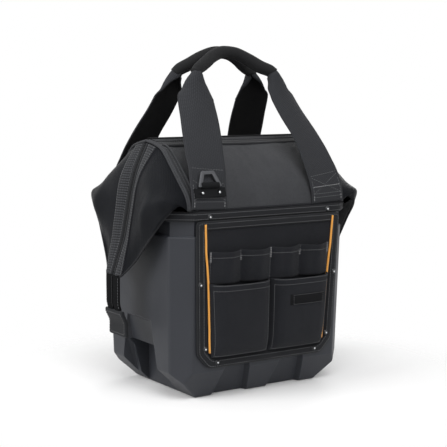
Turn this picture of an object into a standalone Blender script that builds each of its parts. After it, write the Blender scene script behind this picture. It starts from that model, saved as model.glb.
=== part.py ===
"""Wide-mouth tool bag: moulded tub, rim band, two flap mouth halves, handles, pockets and zip."""

import math

import bmesh
import bpy
from mathutils import Matrix, Vector

# Clearances and overshoots
GAP = 0.0003
OVERRUN = 0.0040
HAIR = 0.0006
MERGE = 0.00001
HALF_SHARE = 0.5

# Moulded tub, measured at its ledge
SHELL_LENGTH = 0.2694
SHELL_DEPTH = 0.2040
SHELL_CORNER = 0.0230
LEDGE_HEIGHT = 0.2094
COLLAR_HEIGHT = 0.0262
RIM_HEIGHT = LEDGE_HEIGHT + COLLAR_HEIGHT
COLLAR_INSET = 0.0030
WALL = 0.0030
FLOOR = 0.0035
EDGE_ROUND = 0.0022
END_DRAFT = math.radians(1.1)
SIDE_DRAFT = math.radians(2.8)
CORNER_DRAFT = math.radians(2.15)
FOOT_HEIGHT = 0.0360
FOOT_END = 0.0370
FOOT_SIDE = 0.0190
BLANK = 1.0000

# Recesses between the feet on the long sides
SIDE_RECESS_TOP = 0.0640
SIDE_RECESS_DEPTH = 0.0090
SIDE_RECESS_FLANK = 0.0045
SIDE_RECESS_INNER = 0.0135
SIDE_RECESS_END = 0.0631
SIDE_RECESS_OUTER = SHELL_LENGTH / 2 - SIDE_RECESS_END
SIDE_RECESS_LEAN = 0.2150

# Wedge recess and hand cavity on each end
END_RECESS_TOP = 0.0970
END_RECESS_STEP = 0.0030
END_RECESS_HALF_TOP = 0.0330
END_RECESS_SPREAD = 0.2050
END_RECESS_SLOPE = 0.2700
END_RECESS_FLANK = 0.0030
GRIP_HOLE_TOP = 0.0610
GRIP_HOLE_HALF = 0.0390
GRIP_HOLE_DEPTH = 0.0397
GRIP_HOLE_BACK = SHELL_LENGTH / 2 - GRIP_HOLE_DEPTH

# Lining and floor board
LINER = 0.0010
LINER_DROP = 0.0081
BOARD_INSET = 0.0067
BOARD = 0.0040
BOARD_CORNER = 0.0120

# Band folded over the rim
BAND_DROP = 0.0070
BAND_RISE = 0.0039
BAND_OVER = 0.0007
BAND_BOTTOM = RIM_HEIGHT - BAND_DROP
BAND_TOP = RIM_HEIGHT + BAND_RISE
BAND_FOLD = RIM_HEIGHT + BAND_OVER
BAND_PROUD = 0.0022
BAND_ROUND = 0.0012

# Rivets
SHANK_RADIUS = 0.0014
HOLE_RADIUS = 0.0017
HEAD_RADIUS = 0.0036
HEAD_HEIGHT = 0.0018
HEAD_SHARES = (0.62, 0.86)
HOLE_DEPTH = 0.0400
TAIL_RADIUS = 0.0026
TAIL_HEIGHT = 0.0008
RIVET_STEPS = 10

# Pocket panel
PANEL_GAP = 0.0006
PANEL_TOP = BAND_BOTTOM - PANEL_GAP
PANEL_INSET = 0.0247
PANEL_LEAN = 0.0055
PANEL_CUT = 0.0165
PANEL_TOP_HALF = SHELL_LENGTH / 2 - PANEL_INSET
PANEL_LOW = 0.0600
PANEL_LOW_HALF = PANEL_TOP_HALF - PANEL_LEAN
PANEL_BOTTOM = 0.0420
PANEL_BOTTOM_HALF = PANEL_LOW_HALF - PANEL_CUT
PANEL_FIELD = 0.0025
PANEL_BINDING = 0.0020
PANEL_BINDING_WIDTH = 0.0096
PANEL_ROUND = 0.0008

# Places of the rivets: inset from the panel's half width, and height
BAND_RIVET_INSET = 0.0190
BAND_RIVET_DROP = 0.0018
UPPER_RIVET_INSET = 0.0065
UPPER_RIVET_SHARE = 0.6579
SIDE_RIVET_INSET = 0.0100
SIDE_RIVET_RISE = 0.0080
LOWER_RIVET_INSET = 0.0120
LOWER_RIVET_RISE = 0.0070
BAND_RIVET = (PANEL_TOP_HALF - BAND_RIVET_INSET, RIM_HEIGHT - BAND_RIVET_DROP)
PANEL_RIVETS = (
    (PANEL_TOP_HALF - UPPER_RIVET_INSET, PANEL_TOP * UPPER_RIVET_SHARE),
    (PANEL_LOW_HALF - SIDE_RIVET_INSET, PANEL_LOW + SIDE_RIVET_RISE),
    (PANEL_BOTTOM_HALF - LOWER_RIVET_INSET, PANEL_BOTTOM + LOWER_RIVET_RISE),
)

# Piping, given as half width inside the panel's edge and share of the panel's top
PIPING_RADIUS = 0.0016
PIPING_INSET = 0.0115
PIPING_LEAN = 0.0103
PIPING_SHARES = (0.9518, 0.6754, 0.2829)

# Tool sleeves
SLEEVE_DROP = 0.0374
SLEEVE_HEIGHT = 0.0394
SLEEVE_TOP = PANEL_TOP - SLEEVE_DROP
SLEEVE_BOTTOM = SLEEVE_TOP - SLEEVE_HEIGHT
SLEEVE_INSET = 0.0210
SLEEVE_STOP_SHARES = (-1.0, -0.5056, 0.0, 0.5056, 1.0)
SLEEVE_STOPS = tuple((PANEL_TOP_HALF - SLEEVE_INSET) * share for share in SLEEVE_STOP_SHARES)
SLEEVE_HEM = 0.0023
SLEEVE_BULGE = 0.0095
SLEEVE_FABRIC = 0.0018
SLEEVE_PINCH = 1.6
SLEEVE_SHARES = ((0.10, 0.30), (0.22, 0.78), (0.38, 0.97), (0.55, 1.00), (0.68, 0.98), (0.82, 0.74), (0.92, 0.30))

# Lower pockets
POCKET_GAP = 0.0007
POCKET_TOP = SLEEVE_BOTTOM - POCKET_GAP
POCKET_BOTTOM = 0.0550
POCKET_INSET_TOP = 0.0180
POCKET_INSET_LOW = 0.0185
POCKET_SPLIT = 0.0010
POCKET_BULGE = 0.0172
POCKET_FABRIC = 0.0020
POCKET_HEM = 0.0085
POCKET_HEM_PROUD = 0.0009
POCKET_HALF_TOP = (PANEL_TOP_HALF - POCKET_INSET_TOP - POCKET_SPLIT) / 2
POCKET_HALF_LOW = (PANEL_LOW_HALF - POCKET_INSET_LOW - POCKET_SPLIT) / 2
POCKET_CENTRE_TOP = POCKET_HALF_TOP + POCKET_SPLIT
POCKET_CENTRE_LOW = POCKET_HALF_LOW + POCKET_SPLIT
POCKET_ACROSS_SHARES = ((0.0, 0.0), (0.03, 0.34), (0.08, 0.68), (0.17, 0.90), (0.32, 0.985), (0.5, 1.0))
POCKET_UP_SHARES = ((0.0, 0.0), (0.03, 0.36), (0.09, 0.72), (0.20, 0.93), (0.40, 1.0), (0.66, 0.97), (0.90, 0.90))
LABEL_HALF = 0.0285
LABEL_HEIGHT = 0.0130
LABEL_ASIDE = 0.0045
LABEL_DROP = 0.0285
LABEL_CENTRE = (POCKET_CENTRE_TOP + LABEL_ASIDE, POCKET_TOP - LABEL_DROP)
LABEL = 0.0004
LABEL_STEPS = 12

# Mouth halves: roof, stay rod and zip
FABRIC = 0.0025
ROOF_INSET = 0.0177
ROOF_HALF = SHELL_LENGTH / 2 - ROOF_INSET
ROOF_GAP = 0.0008
ROOF_FOOT = BAND_TOP + ROOF_GAP
ROOF_RISE = 0.0827
ROOF_TOP = ROOF_FOOT + ROOF_RISE
ROOF_PROUD = 0.0018
ROOF_DEPTH = SHELL_DEPTH / 2 + ROOF_PROUD
ROOF_MID_SHARES = (
    (1.0, 0.0), (0.98, 0.12), (0.94, 0.26), (0.875, 0.40), (0.77, 0.55),
    (0.61, 0.71), (0.46, 0.82), (0.33, 0.905), (0.16, 0.965), (0.008, 1.0),
)
ROOF_END_SHARES = (
    (0.975, 0.0), (0.955, 0.12), (0.90, 0.25), (0.80, 0.375), (0.68, 0.52),
    (0.56, 0.665), (0.45, 0.80), (0.34, 0.905), (0.17, 0.965), (0.008, 1.0),
)
ROOF_COLUMN_SHARES = (-1.0, -0.93, -0.78, -0.55, -0.28, 0.0, 0.28, 0.55, 0.78, 0.93, 1.0)
ROOF_BULGE_POWER = 4
ROD_RADIUS = 0.0020
ROD_INSET = 0.0080
ROD_HALF = ROOF_HALF - ROD_INSET
ROD_CORNER = 0.0120
MOUTH_AXIS_OUT = 0.0025
MOUTH_AXIS_RISE = 0.0002
MOUTH_AXIS = (SHELL_DEPTH / 2 + MOUTH_AXIS_OUT, ROOF_FOOT + MOUTH_AXIS_RISE)
ZIP_INSET = 0.0020
ZIP_HALF = ROOF_HALF - ZIP_INSET
ZIP_TAPE = 0.0012
ZIP_COIL_WIDTH = 0.0019
ZIP_COIL_HEIGHT = 0.0030

# Wing gussets of the front left quarter: distances beyond the tub's end, depths and heights over the roof's foot
WING_GAP = 0.0018
WING_START = ROOF_HALF + WING_GAP
WING_ZIP_REACH = ((0.0013, 0.0417), (0.0151, -0.0223), (0.0189, -0.0403), (0.0278, -0.0663), (0.0348, -0.0873))
WING_FOLD_REACH = ((0.0143, 0.0027), (0.0183, -0.0183), (0.0228, -0.0413), (0.0278, -0.0643), (0.0325, -0.0793), (0.0348, -0.0873))
WING_FOLD_SHARES = (0.9510, 0.7843, 0.6275, 0.4706, 0.3235, 0.1765)
WING_ZIP = tuple((SHELL_LENGTH / 2 + out, ROOF_FOOT + rise) for out, rise in WING_ZIP_REACH)
WING_FOLD = tuple(
    (SHELL_LENGTH / 2 + out, SHELL_DEPTH / 2 * share, ROOF_FOOT + rise)
    for (out, rise), share in zip(WING_FOLD_REACH, WING_FOLD_SHARES)
)
WING_EAR = 0.0140
WING_EAR_SHARE = 0.90
WING_EAR_SKEW = 0.80
WING_EAR_OUTWARD = (0.456, 0.570, 0.684)
WING_PUFF = 0.0100
WING_OUTWARD = (0.953, 0.09, 0.288)
WING_OUT_SHARES = (0.0, 0.25, 0.5, 0.75, 1.0)
WING_FLAT_SHARE = 0.95
WING_FOLD_ROUND = 0.0030
GUSSET = 0.0012
WING_CUT_SHARES = (0.0, 0.18, 0.36, 0.54, 0.72, 0.86, 0.955, 1.0)
WING_RETURN_OUT = 0.0053
WING_RETURN_SHARE = 0.7647
WING_RETURN_DROP = 0.0063
WING_RETURN = (SHELL_LENGTH / 2 + WING_RETURN_OUT, SHELL_DEPTH / 2 * WING_RETURN_SHARE, ROOF_FOOT - WING_RETURN_DROP)
WING_RETURN_BULGE = 0.0085
SEAM_RISE = 0.0007
SEAM_FOOT = ROOF_FOOT + SEAM_RISE

# Zip tails and their end tabs
TAIL_OUT = 0.0004
TAIL_GAP = 0.0010
TAIL_LENGTH = 0.0510
TAIL_X = WING_ZIP[-1][0] + TAIL_OUT
TAIL_TOP = WING_ZIP[-1][1] - TAIL_GAP
TAIL_BOTTOM = TAIL_TOP - TAIL_LENGTH
TAIL_HALF = 0.0180
TAIL_THICK = 0.0026
TAB_OVERLAP = 0.0090
TAB_HEIGHT = 0.0345
TAB_TOP = TAIL_BOTTOM + TAB_OVERLAP
TAB_BOTTOM = TAB_TOP - TAB_HEIGHT
TAB_HALF = 0.0230
TAB_THICK = 0.0064
TAB_ROUND = 0.0015

# Zip slider and pull
SLIDER_DROP = 0.0343
SLIDER_Z = ROOF_FOOT - SLIDER_DROP
SLIDER_LIFT = 0.0008
SLIDER_HALF = 0.0045
SLIDER_LENGTH = 0.0120
SLIDER_PLATE = 0.0014
SLIDER_LUG = 0.0050
SLIDER_LUG_WIDTH = 0.0011
SLIDER_POST = 0.0003
PIN_RADIUS = 0.0008
PULL_BORE = 0.0011
PULL_EYE = 0.0021
PULL_LENGTH = 0.0240
PULL_WIDTH = 0.0060
PULL_THICK = 0.0016

# Straps and grip of one handle: x and depth as shares of the roof's, height as a share of the handle's rise
STRAP_HALF = 0.0250
STRAP_THICK = 0.0011
HANDLE_OUT = 0.0028
HANDLE_LIFT = 0.0027
HANDLE_HEIGHT = 0.1962
HANDLE_AXIS = (SHELL_DEPTH / 2 + HANDLE_OUT, ROOF_FOOT + HANDLE_LIFT)
STRAP_PATH_SHARES = (
    (0.7829, 1.0000, 0.0112), (0.7795, 1.0000, 0.0596), (0.7744, 0.9781, 0.1157), (0.7632, 0.9332, 0.1820),
    (0.7521, 0.8760, 0.2584), (0.7248, 0.7824, 0.3553), (0.6709, 0.6584, 0.4674), (0.6137, 0.5153, 0.5897),
    (0.5812, 0.3912, 0.6942), (0.5658, 0.3387, 0.7452), (0.5470, 0.2910, 0.7936), (0.5256, 0.2653, 0.8293),
    (0.5043, 0.2481, 0.8547), (0.4615, 0.2242, 0.8828), (0.4103, 0.1956, 0.9057),
)
STRAP_PATH = tuple((ROOF_HALF * x, HANDLE_AXIS[0] * y, ROOF_FOOT + HANDLE_HEIGHT * z) for x, y, z in STRAP_PATH_SHARES)
STRAP_WIDTH_SHARES = (1.0, 1.0, 1.0, 1.0, 1.0, 1.0, 1.0, 1.0, 1.0, 0.88, 0.60, 0.38, 0.25, 0.22, 0.22)
STRAP_TWIST_SHARES = (0.0, 0.0, 0.0, 0.15, 0.4, 0.7, 0.9, 1.0, 1.0, 0.9, 0.6, 0.3, 0.0, 0.0, 0.0)
STRAP_TWIST = math.radians(10.0)
SOCKET_ROWS = 4
GRIP_RADIUS = 0.0078
GRIP_SHARES = (1.0, 1.0, 1.04, 1.02, 0.96, 0.94)
GRIP_ARCH_SHARES = (
    (0.5043, 0.2481, 0.8547), (0.4615, 0.2242, 0.8828), (0.3675, 0.1813, 0.9185),
    (0.2393, 0.1288, 0.9644), (0.1111, 0.0954, 0.9934), (0.0000, 0.0840, 1.0000),
)
GRIP_PATH = tuple((ROOF_HALF * x, HANDLE_AXIS[0] * y, ROOF_FOOT + HANDLE_HEIGHT * z) for x, y, z in GRIP_ARCH_SHARES)
GRIP_SIDES = 14

# Ring and its riveted tab
BUCKLE_STEPS = 2
BUCKLE_LEAN = math.radians(20.0)
RING_TAB_HALF = 0.0220
RING_TAB_LOW = 0.0065
RING_TAB_HIGH = 0.0050
RING_TAB_THICK = 0.0026
RING_ROD = 0.0022
RING_BORE = 0.0025
BARREL_RADIUS = 0.0037
BARREL_HALF = 0.0125
BARREL_RISE = 0.0080
RING_HALF_LOW = 0.0180
RING_HALF_HIGH = 0.0085
RING_HEIGHT = 0.0185
RING_CORNER = 0.0045
RING_CORNER_SHARES = (0.0, 0.3, 0.7, 1.0)
TAB_RIVET_HALF = 0.0135

# Surface finishes: colour, metallic, roughness
SHELL_GREY = ((0.062, 0.065, 0.071, 1.0), 0.0, 0.55)
FABRIC_BLACK = ((0.021, 0.022, 0.024, 1.0), 0.0, 0.92)
WEBBING_GREY = ((0.045, 0.046, 0.048, 1.0), 0.0, 0.90)
PIPING_GOLD = ((0.78, 0.41, 0.10, 1.0), 0.0, 0.60)
STEEL_DARK = ((0.075, 0.079, 0.088, 1.0), 1.0, 0.38)
STEEL_PLAIN = ((0.55, 0.56, 0.58, 1.0), 1.0, 0.35)
TAB_RUBBER = ((0.030, 0.031, 0.033, 1.0), 0.0, 0.60)
LABEL_DARK = ((0.028, 0.029, 0.031, 1.0), 0.0, 0.50)


for old in list(bpy.data.objects):
    bpy.data.objects.remove(old, do_unlink=True)

scene = bpy.context.scene
bag = bpy.data.collections.new("tool_bag")
cutters = bpy.data.collections.new("cutters")
scene.collection.children.link(bag)
scene.collection.children.link(cutters)
cutters.hide_render = True


def place(name, data, finish=None, parent=None):
    """Puts new data in the bag with its own finish, or among the cutters when it has none."""
    item = bpy.data.objects.new(name, data)
    if finish is None:
        cutters.objects.link(item)
        item.hide_render = True
        item.display_type = "WIRE"
    else:
        bag.objects.link(item)
        colour, metallic, roughness = finish
        material = bpy.data.materials.new(name)
        material.use_nodes = True
        shader = material.node_tree.nodes["Principled BSDF"]
        shader.inputs["Base Color"].default_value = colour
        shader.inputs["Metallic"].default_value = metallic
        shader.inputs["Roughness"].default_value = roughness
        material.diffuse_color = colour
        data.materials.append(material)
    item.parent = parent
    return item


def empty(name, at, turn=(0.0, 0.0, 0.0), parent=None):
    item = bpy.data.objects.new(name, None)
    bag.objects.link(item)
    item.parent = parent
    item.location = at
    item.rotation_euler = turn
    return item


def mesh_from(name, points, faces):
    """A mesh with every face turned to look outward."""
    data = bpy.data.meshes.new(name)
    work = bmesh.new()
    corners = [work.verts.new(point) for point in points]
    for face in faces:
        work.faces.new([corners[index] for index in face])
    bmesh.ops.recalc_face_normals(work, faces=work.faces)
    work.to_mesh(data)
    work.free()
    return data


def loft_mesh(name, rings, closed=False):
    """Joins equal rings of points into one skin, with its two ends filled unless it closes on itself."""
    count = len(rings[0])
    total = len(rings)
    points = [point for ring in rings for point in ring]
    faces = []
    for row in range(total if closed else total - 1):
        for column in range(count):
            beside = (column + 1) % count
            above = (row + 1) % total
            faces.append((row * count + column, row * count + beside, above * count + beside, above * count + column))
    if not closed:
        faces.append(tuple(range(count)))
        faces.append(tuple((total - 1) * count + index for index in range(count)))
    return mesh_from(name, points, faces)


def grid_mesh(name, rows):
    """An open sheet through rows of points."""
    width = len(rows[0])
    faces = []
    for row in range(len(rows) - 1):
        for column in range(width - 1):
            first = row * width + column
            faces.append((first, first + 1, first + width + 1, first + width))
    return mesh_from(name, [point for row in rows for point in row], faces)


def sheet(name, rows, thickness, finish, outward, parent=None):
    """A sheet whose thickness grows away from the given outward direction."""
    data = grid_mesh(name, rows)
    middle = data.polygons[len(data.polygons) // 2]
    if middle.normal.dot(Vector(outward)) < 0:
        data.flip_normals()
    item = place(name, data, finish, parent)
    solid = item.modifiers.new("thickness", "SOLIDIFY")
    solid.thickness = thickness
    solid.offset = -1.0
    solid.use_even_offset = True
    solid.thickness_clamp = 1.0
    return item


def cut_hull(name, planes):
    """The solid that is left of a large block behind every plane."""
    data = bpy.data.meshes.new(name)
    work = bmesh.new()
    bmesh.ops.create_cube(work, size=BLANK)
    for point, normal in planes:
        everything = work.verts[:] + work.edges[:] + work.faces[:]
        cut = bmesh.ops.bisect_plane(
            work, geom=everything, plane_co=point, plane_no=normal, clear_outer=True
        )
        edges = [item for item in cut["geom_cut"] if isinstance(item, bmesh.types.BMEdge)]
        if edges:
            bmesh.ops.contextual_create(work, geom=edges)
    bmesh.ops.recalc_face_normals(work, faces=work.faces)
    work.to_mesh(data)
    work.free()
    return data


def block_mesh(name, low, high):
    """A box between two opposite corners."""
    points = [(x, y, z) for z in (low[2], high[2]) for y in (low[1], high[1]) for x in (low[0], high[0])]
    faces = [(0, 1, 3, 2), (4, 5, 7, 6), (0, 1, 5, 4), (2, 3, 7, 6), (0, 2, 6, 4), (1, 3, 7, 5)]
    return mesh_from(name, points, faces)


def bevel(item, width, segments=2, angle=math.radians(28)):
    tool = item.modifiers.new("edge round", "BEVEL")
    tool.width = width
    tool.segments = segments
    tool.limit_method = "ANGLE"
    tool.angle_limit = angle


def boolean(item, operation, other):
    tool = item.modifiers.new(operation.lower() + " " + other.name, "BOOLEAN")
    tool.operation = operation
    tool.solver = "EXACT"
    tool.object = other


def turned(name, profile, finish, parent, steps):
    """A turned piece about its own Y axis, from radius and depth pairs."""
    data = bpy.data.meshes.new(name)
    data.from_pydata([(radius, depth, 0.0) for radius, depth in profile], [
        (index, index + 1) for index in range(len(profile) - 1)
    ], [])
    item = place(name, data, finish, parent)
    tool = item.modifiers.new("turn", "SCREW")
    tool.axis = "Y"
    tool.steps = steps
    tool.render_steps = steps
    tool.use_merge_vertices = True
    tool.merge_threshold = MERGE
    tool.use_normal_flip = True
    return item


def tube(name, points, radius, finish, parent=None, closed=False, resolution=2):
    """Round rod along points."""
    data = bpy.data.curves.new(name, "CURVE")
    data.dimensions = "3D"
    data.bevel_depth = radius
    data.bevel_resolution = resolution
    data.use_fill_caps = not closed
    line = data.splines.new("POLY")
    line.points.add(len(points) - 1)
    for target, point in zip(line.points, points):
        target.co = (*point, 1.0)
    line.use_cyclic_u = closed
    return place(name, data, finish, parent)


def swept_rings(path, widths, depths, sides, grow=0.0):
    """Oval or flat sections square to a path; their width starts along X and turns with the path."""
    spots = [Vector(point) for point in path]
    wide = Vector((1.0, 0.0, 0.0))
    rings = []
    for index, spot in enumerate(spots):
        before = spots[max(index - 1, 0)]
        after = spots[min(index + 1, len(spots) - 1)]
        along = (after - before).normalized()
        wide = (wide - along * wide.dot(along)).normalized()
        deep = wide.cross(along).normalized()
        ring = []
        for side in range(sides):
            turn = math.tau * (side + HALF_SHARE) / sides
            across = wide * ((widths[index] + grow) * math.cos(turn))
            ring.append(spot + across + deep * ((depths[index] + grow) * math.sin(turn)))
        rings.append(ring)
    return rings


def flat_rings(path, widths, thickness, turns, grow=0.0):
    """Rectangular webbing sections along a path, each turned from X about the vertical."""
    spots = [Vector(point) for point in path]
    rings = []
    for index, spot in enumerate(spots):
        before = spots[max(index - 1, 0)]
        after = spots[min(index + 1, len(spots) - 1)]
        along = (after - before).normalized()
        wide = Vector((math.cos(turns[index]), math.sin(turns[index]), 0.0))
        wide = (wide - along * wide.dot(along)).normalized()
        deep = wide.cross(along).normalized()
        across = wide * (widths[index] + grow)
        through = deep * (thickness + grow)
        rings.append([spot - across - through, spot + across - through, spot + across + through, spot - across + through])
    return rings


# Tub

def end_x(z):
    return SHELL_LENGTH / 2 - (LEDGE_HEIGHT - z) * math.tan(END_DRAFT)


def side_y(z):
    """Outer half depth of the tub at a height, chamfer included."""
    wall = SHELL_DEPTH / 2 - (LEDGE_HEIGHT - max(z, FOOT_HEIGHT)) * math.tan(SIDE_DRAFT)
    return wall - max(FOOT_HEIGHT - z, 0.0) * FOOT_SIDE / FOOT_HEIGHT


def corner_sum(z):
    return (SHELL_LENGTH + SHELL_DEPTH) / 2 - SHELL_CORNER - (LEDGE_HEIGHT - z) * math.tan(CORNER_DRAFT) * math.sqrt(2)


def octagon(grow, z, at=None):
    """The eight corners of the tub outline at one height, moved outward by grow."""
    level = z if at is None else at
    x = end_x(level) + grow
    y = SHELL_DEPTH / 2 - (LEDGE_HEIGHT - level) * math.tan(SIDE_DRAFT) + grow
    total = corner_sum(level) + grow * math.sqrt(2)
    quarter = [(x, total - x), (total - y, y)]
    points = quarter + [(-a, b) for a, b in reversed(quarter)]
    points += [(-a, -b) for a, b in quarter] + [(a, -b) for a, b in reversed(quarter)]
    return [(a, b, z) for a, b in points]


def tub_planes(grow, bottom, top):
    """Point and outward normal of every face of the tub, moved outward by grow."""
    planes = [((0.0, 0.0, bottom), (0.0, 0.0, -1.0)), ((0.0, 0.0, top), (0.0, 0.0, 1.0))]
    for way in (-1, 1):
        x = SHELL_LENGTH / 2
        y = SHELL_DEPTH / 2
        walls = [
            ((way * x, 0.0, LEDGE_HEIGHT), Vector((way * math.cos(END_DRAFT), 0.0, -math.sin(END_DRAFT)))),
            ((0.0, way * y, LEDGE_HEIGHT), Vector((0.0, way * math.cos(SIDE_DRAFT), -math.sin(SIDE_DRAFT)))),
            ((way * end_x(FOOT_HEIGHT), 0.0, FOOT_HEIGHT), Vector((way * FOOT_HEIGHT, 0.0, -FOOT_END)).normalized()),
            ((0.0, way * side_y(FOOT_HEIGHT), FOOT_HEIGHT), Vector((0.0, way * FOOT_HEIGHT, -FOOT_SIDE)).normalized()),
        ]
        for other in (-1, 1):
            flat = math.cos(CORNER_DRAFT) / math.sqrt(2)
            spot = (way * corner_sum(LEDGE_HEIGHT) / 2, other * corner_sum(LEDGE_HEIGHT) / 2, LEDGE_HEIGHT)
            walls.append((spot, Vector((way * flat, other * flat, -math.sin(CORNER_DRAFT)))))
        planes += [(Vector(point) + normal * grow, normal) for point, normal in walls]
    return planes


def side_recess_mesh(name, way, side, grow):
    """Cutter between two feet: way is the left or right recess, side is front (-1) or back (1)."""
    rings = []
    for z in (-OVERRUN, FOOT_HEIGHT, SIDE_RECESS_TOP + grow):
        inner = SIDE_RECESS_INNER + z * SIDE_RECESS_LEAN - grow
        outer = SIDE_RECESS_OUTER - z * SIDE_RECESS_LEAN + grow
        face = side_y(z)
        deep = face - SIDE_RECESS_DEPTH - grow
        rings.append([
            (way * inner, side * (face + OVERRUN), z), (way * outer, side * (face + OVERRUN), z),
            (way * (outer - SIDE_RECESS_FLANK), side * deep, z), (way * (inner + SIDE_RECESS_FLANK), side * deep, z),
        ])
    return loft_mesh(name, rings)


def end_recess_mesh(name, way, grow):
    """Cutter for the wedge on one end, deeper toward the floor."""
    rings = []
    step = END_RECESS_TOP - END_RECESS_STEP
    for z, depth in ((END_RECESS_TOP + grow, 0.0), (step, END_RECESS_STEP), (-OVERRUN, END_RECESS_STEP)):
        half = END_RECESS_HALF_TOP + (END_RECESS_TOP - z) * END_RECESS_SPREAD + grow
        x = end_x(step) - depth - grow - (step - min(z, step)) * END_RECESS_SLOPE
        far = end_x(step) + OVERRUN * 2
        rings.append([(way * far, -half, z), (way * far, half, z), (way * x, half - END_RECESS_FLANK, z), (way * x, END_RECESS_FLANK - half, z)])
    return loft_mesh(name, rings)


def grip_hole_mesh(name, way, grow):
    """Cutter for the hand cavity under one wedge."""
    far = end_x(LEDGE_HEIGHT) + OVERRUN
    half = GRIP_HOLE_HALF + grow
    x = sorted((way * far, way * (GRIP_HOLE_BACK - grow)))
    return block_mesh(name, (x[0], -half, -OVERRUN), (x[1], half, GRIP_HOLE_TOP + grow))


def recess_cutters(label, grow):
    """Every recess of the tub as cutters, all grown by one distance."""
    made = []
    for way, side_name in ((-1, "left"), (1, "right")):
        for side, face_name in ((-1, "front"), (1, "back")):
            name = f"{label}_{face_name}_{side_name}_recess"
            made.append(place(name, side_recess_mesh(name, way, side, grow)))
        made.append(place(f"{label}_{side_name}_wedge", end_recess_mesh(f"{label}_{side_name}_wedge", way, grow)))
        made.append(place(f"{label}_{side_name}_grip_hole", grip_hole_mesh(f"{label}_{side_name}_grip_hole", way, grow)))
    return made


def cavity(label, grow, bump, bottom, top):
    """A tub shaped solid for a cut, with the recess bumps left out of it."""
    item = place(label, cut_hull(label, tub_planes(grow, bottom, top)))
    for cutter in recess_cutters(label, bump):
        boolean(item, "DIFFERENCE", cutter)
    return item


base_shell = place("base_shell", cut_hull("base_shell", tub_planes(0.0, 0.0, LEDGE_HEIGHT)), SHELL_GREY)
bevel(base_shell, EDGE_ROUND)
collar = place("collar", cut_hull("collar", tub_planes(-COLLAR_INSET, LEDGE_HEIGHT - WALL, RIM_HEIGHT)))
boolean(base_shell, "UNION", collar)
for cutter in recess_cutters("shell", 0.0):
    boolean(base_shell, "DIFFERENCE", cutter)
boolean(base_shell, "DIFFERENCE", cavity("shell_cavity", -WALL, WALL, FLOOR, LEDGE_HEIGHT - WALL))
collar_cut = place("collar_cavity", cut_hull("collar_cavity", tub_planes(
    -COLLAR_INSET - WALL, LEDGE_HEIGHT - WALL - OVERRUN, RIM_HEIGHT + OVERRUN
)))
boolean(base_shell, "DIFFERENCE", collar_cut)

liner_out = COLLAR_INSET + WALL + GAP
liner_top = RIM_HEIGHT - LINER_DROP
inner_liner = place("inner_liner", cut_hull("inner_liner", tub_planes(-liner_out, FLOOR + GAP, liner_top)), FABRIC_BLACK)
for cutter in recess_cutters("liner", WALL + GAP):
    boolean(inner_liner, "DIFFERENCE", cutter)
boolean(inner_liner, "DIFFERENCE", cavity(
    "liner_cavity", -liner_out - LINER, WALL + GAP + LINER, FLOOR + GAP + LINER, liner_top + OVERRUN
))

board_low = FLOOR + LINER + GAP * 2
board_x = GRIP_HOLE_BACK - WALL - GAP - LINER - BOARD_INSET
board_y = side_y(0.0) - SIDE_RECESS_DEPTH - WALL - GAP - LINER - BOARD_INSET
floor_board = place("floor_board", block_mesh(
    "floor_board", (-board_x, -board_y, board_low), (board_x, board_y, board_low + BOARD)
), TAB_RUBBER)
bevel(floor_board, BAND_ROUND, 1)

# Rim band, a folded strip round the collar

band_in = GAP - COLLAR_INSET
band_section = [
    octagon(band_in, BAND_BOTTOM), octagon(BAND_PROUD, BAND_BOTTOM), octagon(BAND_PROUD, BAND_TOP),
    octagon(-COLLAR_INSET - WALL, BAND_TOP), octagon(-COLLAR_INSET - WALL, BAND_FOLD), octagon(band_in, BAND_FOLD),
]
rim_band = place("rim_band", loft_mesh("rim_band", band_section, closed=True), WEBBING_GREY)
bevel(rim_band, BAND_ROUND, 2, math.radians(60))

# Pocket faces, front and back, each built on the leaning wall in its own frame


def panel_outline():
    right = [(PANEL_BOTTOM_HALF, PANEL_BOTTOM), (PANEL_LOW_HALF, PANEL_LOW), (PANEL_TOP_HALF, PANEL_TOP)]
    return [(x, z) for x, z in right] + [(-x, z) for x, z in reversed(right)]


def panel_mesh(name):
    """A flat panel with a raised binding round its border."""
    data = bpy.data.meshes.new(name)
    work = bmesh.new()
    front = -GAP - PANEL_FIELD - PANEL_BINDING
    face = work.faces.new([work.verts.new((x, front, z)) for x, z in panel_outline()])
    back = bmesh.ops.extrude_face_region(work, geom=[face])
    moved = [item for item in back["geom"] if isinstance(item, bmesh.types.BMVert)]
    bmesh.ops.translate(work, verts=moved, vec=(0.0, PANEL_FIELD + PANEL_BINDING, 0.0))
    bmesh.ops.recalc_face_normals(work, faces=work.faces)
    work.faces.ensure_lookup_table()
    outer = [item for item in work.faces if all(abs(vert.co.y - front) < MERGE for vert in item.verts)]
    bmesh.ops.inset_region(work, faces=outer, thickness=PANEL_BINDING_WIDTH)
    bmesh.ops.inset_region(work, faces=outer, thickness=PANEL_ROUND, depth=-PANEL_BINDING)
    work.to_mesh(data)
    work.free()
    return data


def piping_line():
    """Half width and height of the piping, from its top down."""
    first, last = PIPING_SHARES[0], PIPING_SHARES[-1]
    top = PANEL_TOP_HALF - PIPING_INSET
    return [(top - PIPING_LEAN * (first - share) / (first - last), PANEL_TOP * share) for share in PIPING_SHARES]


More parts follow.
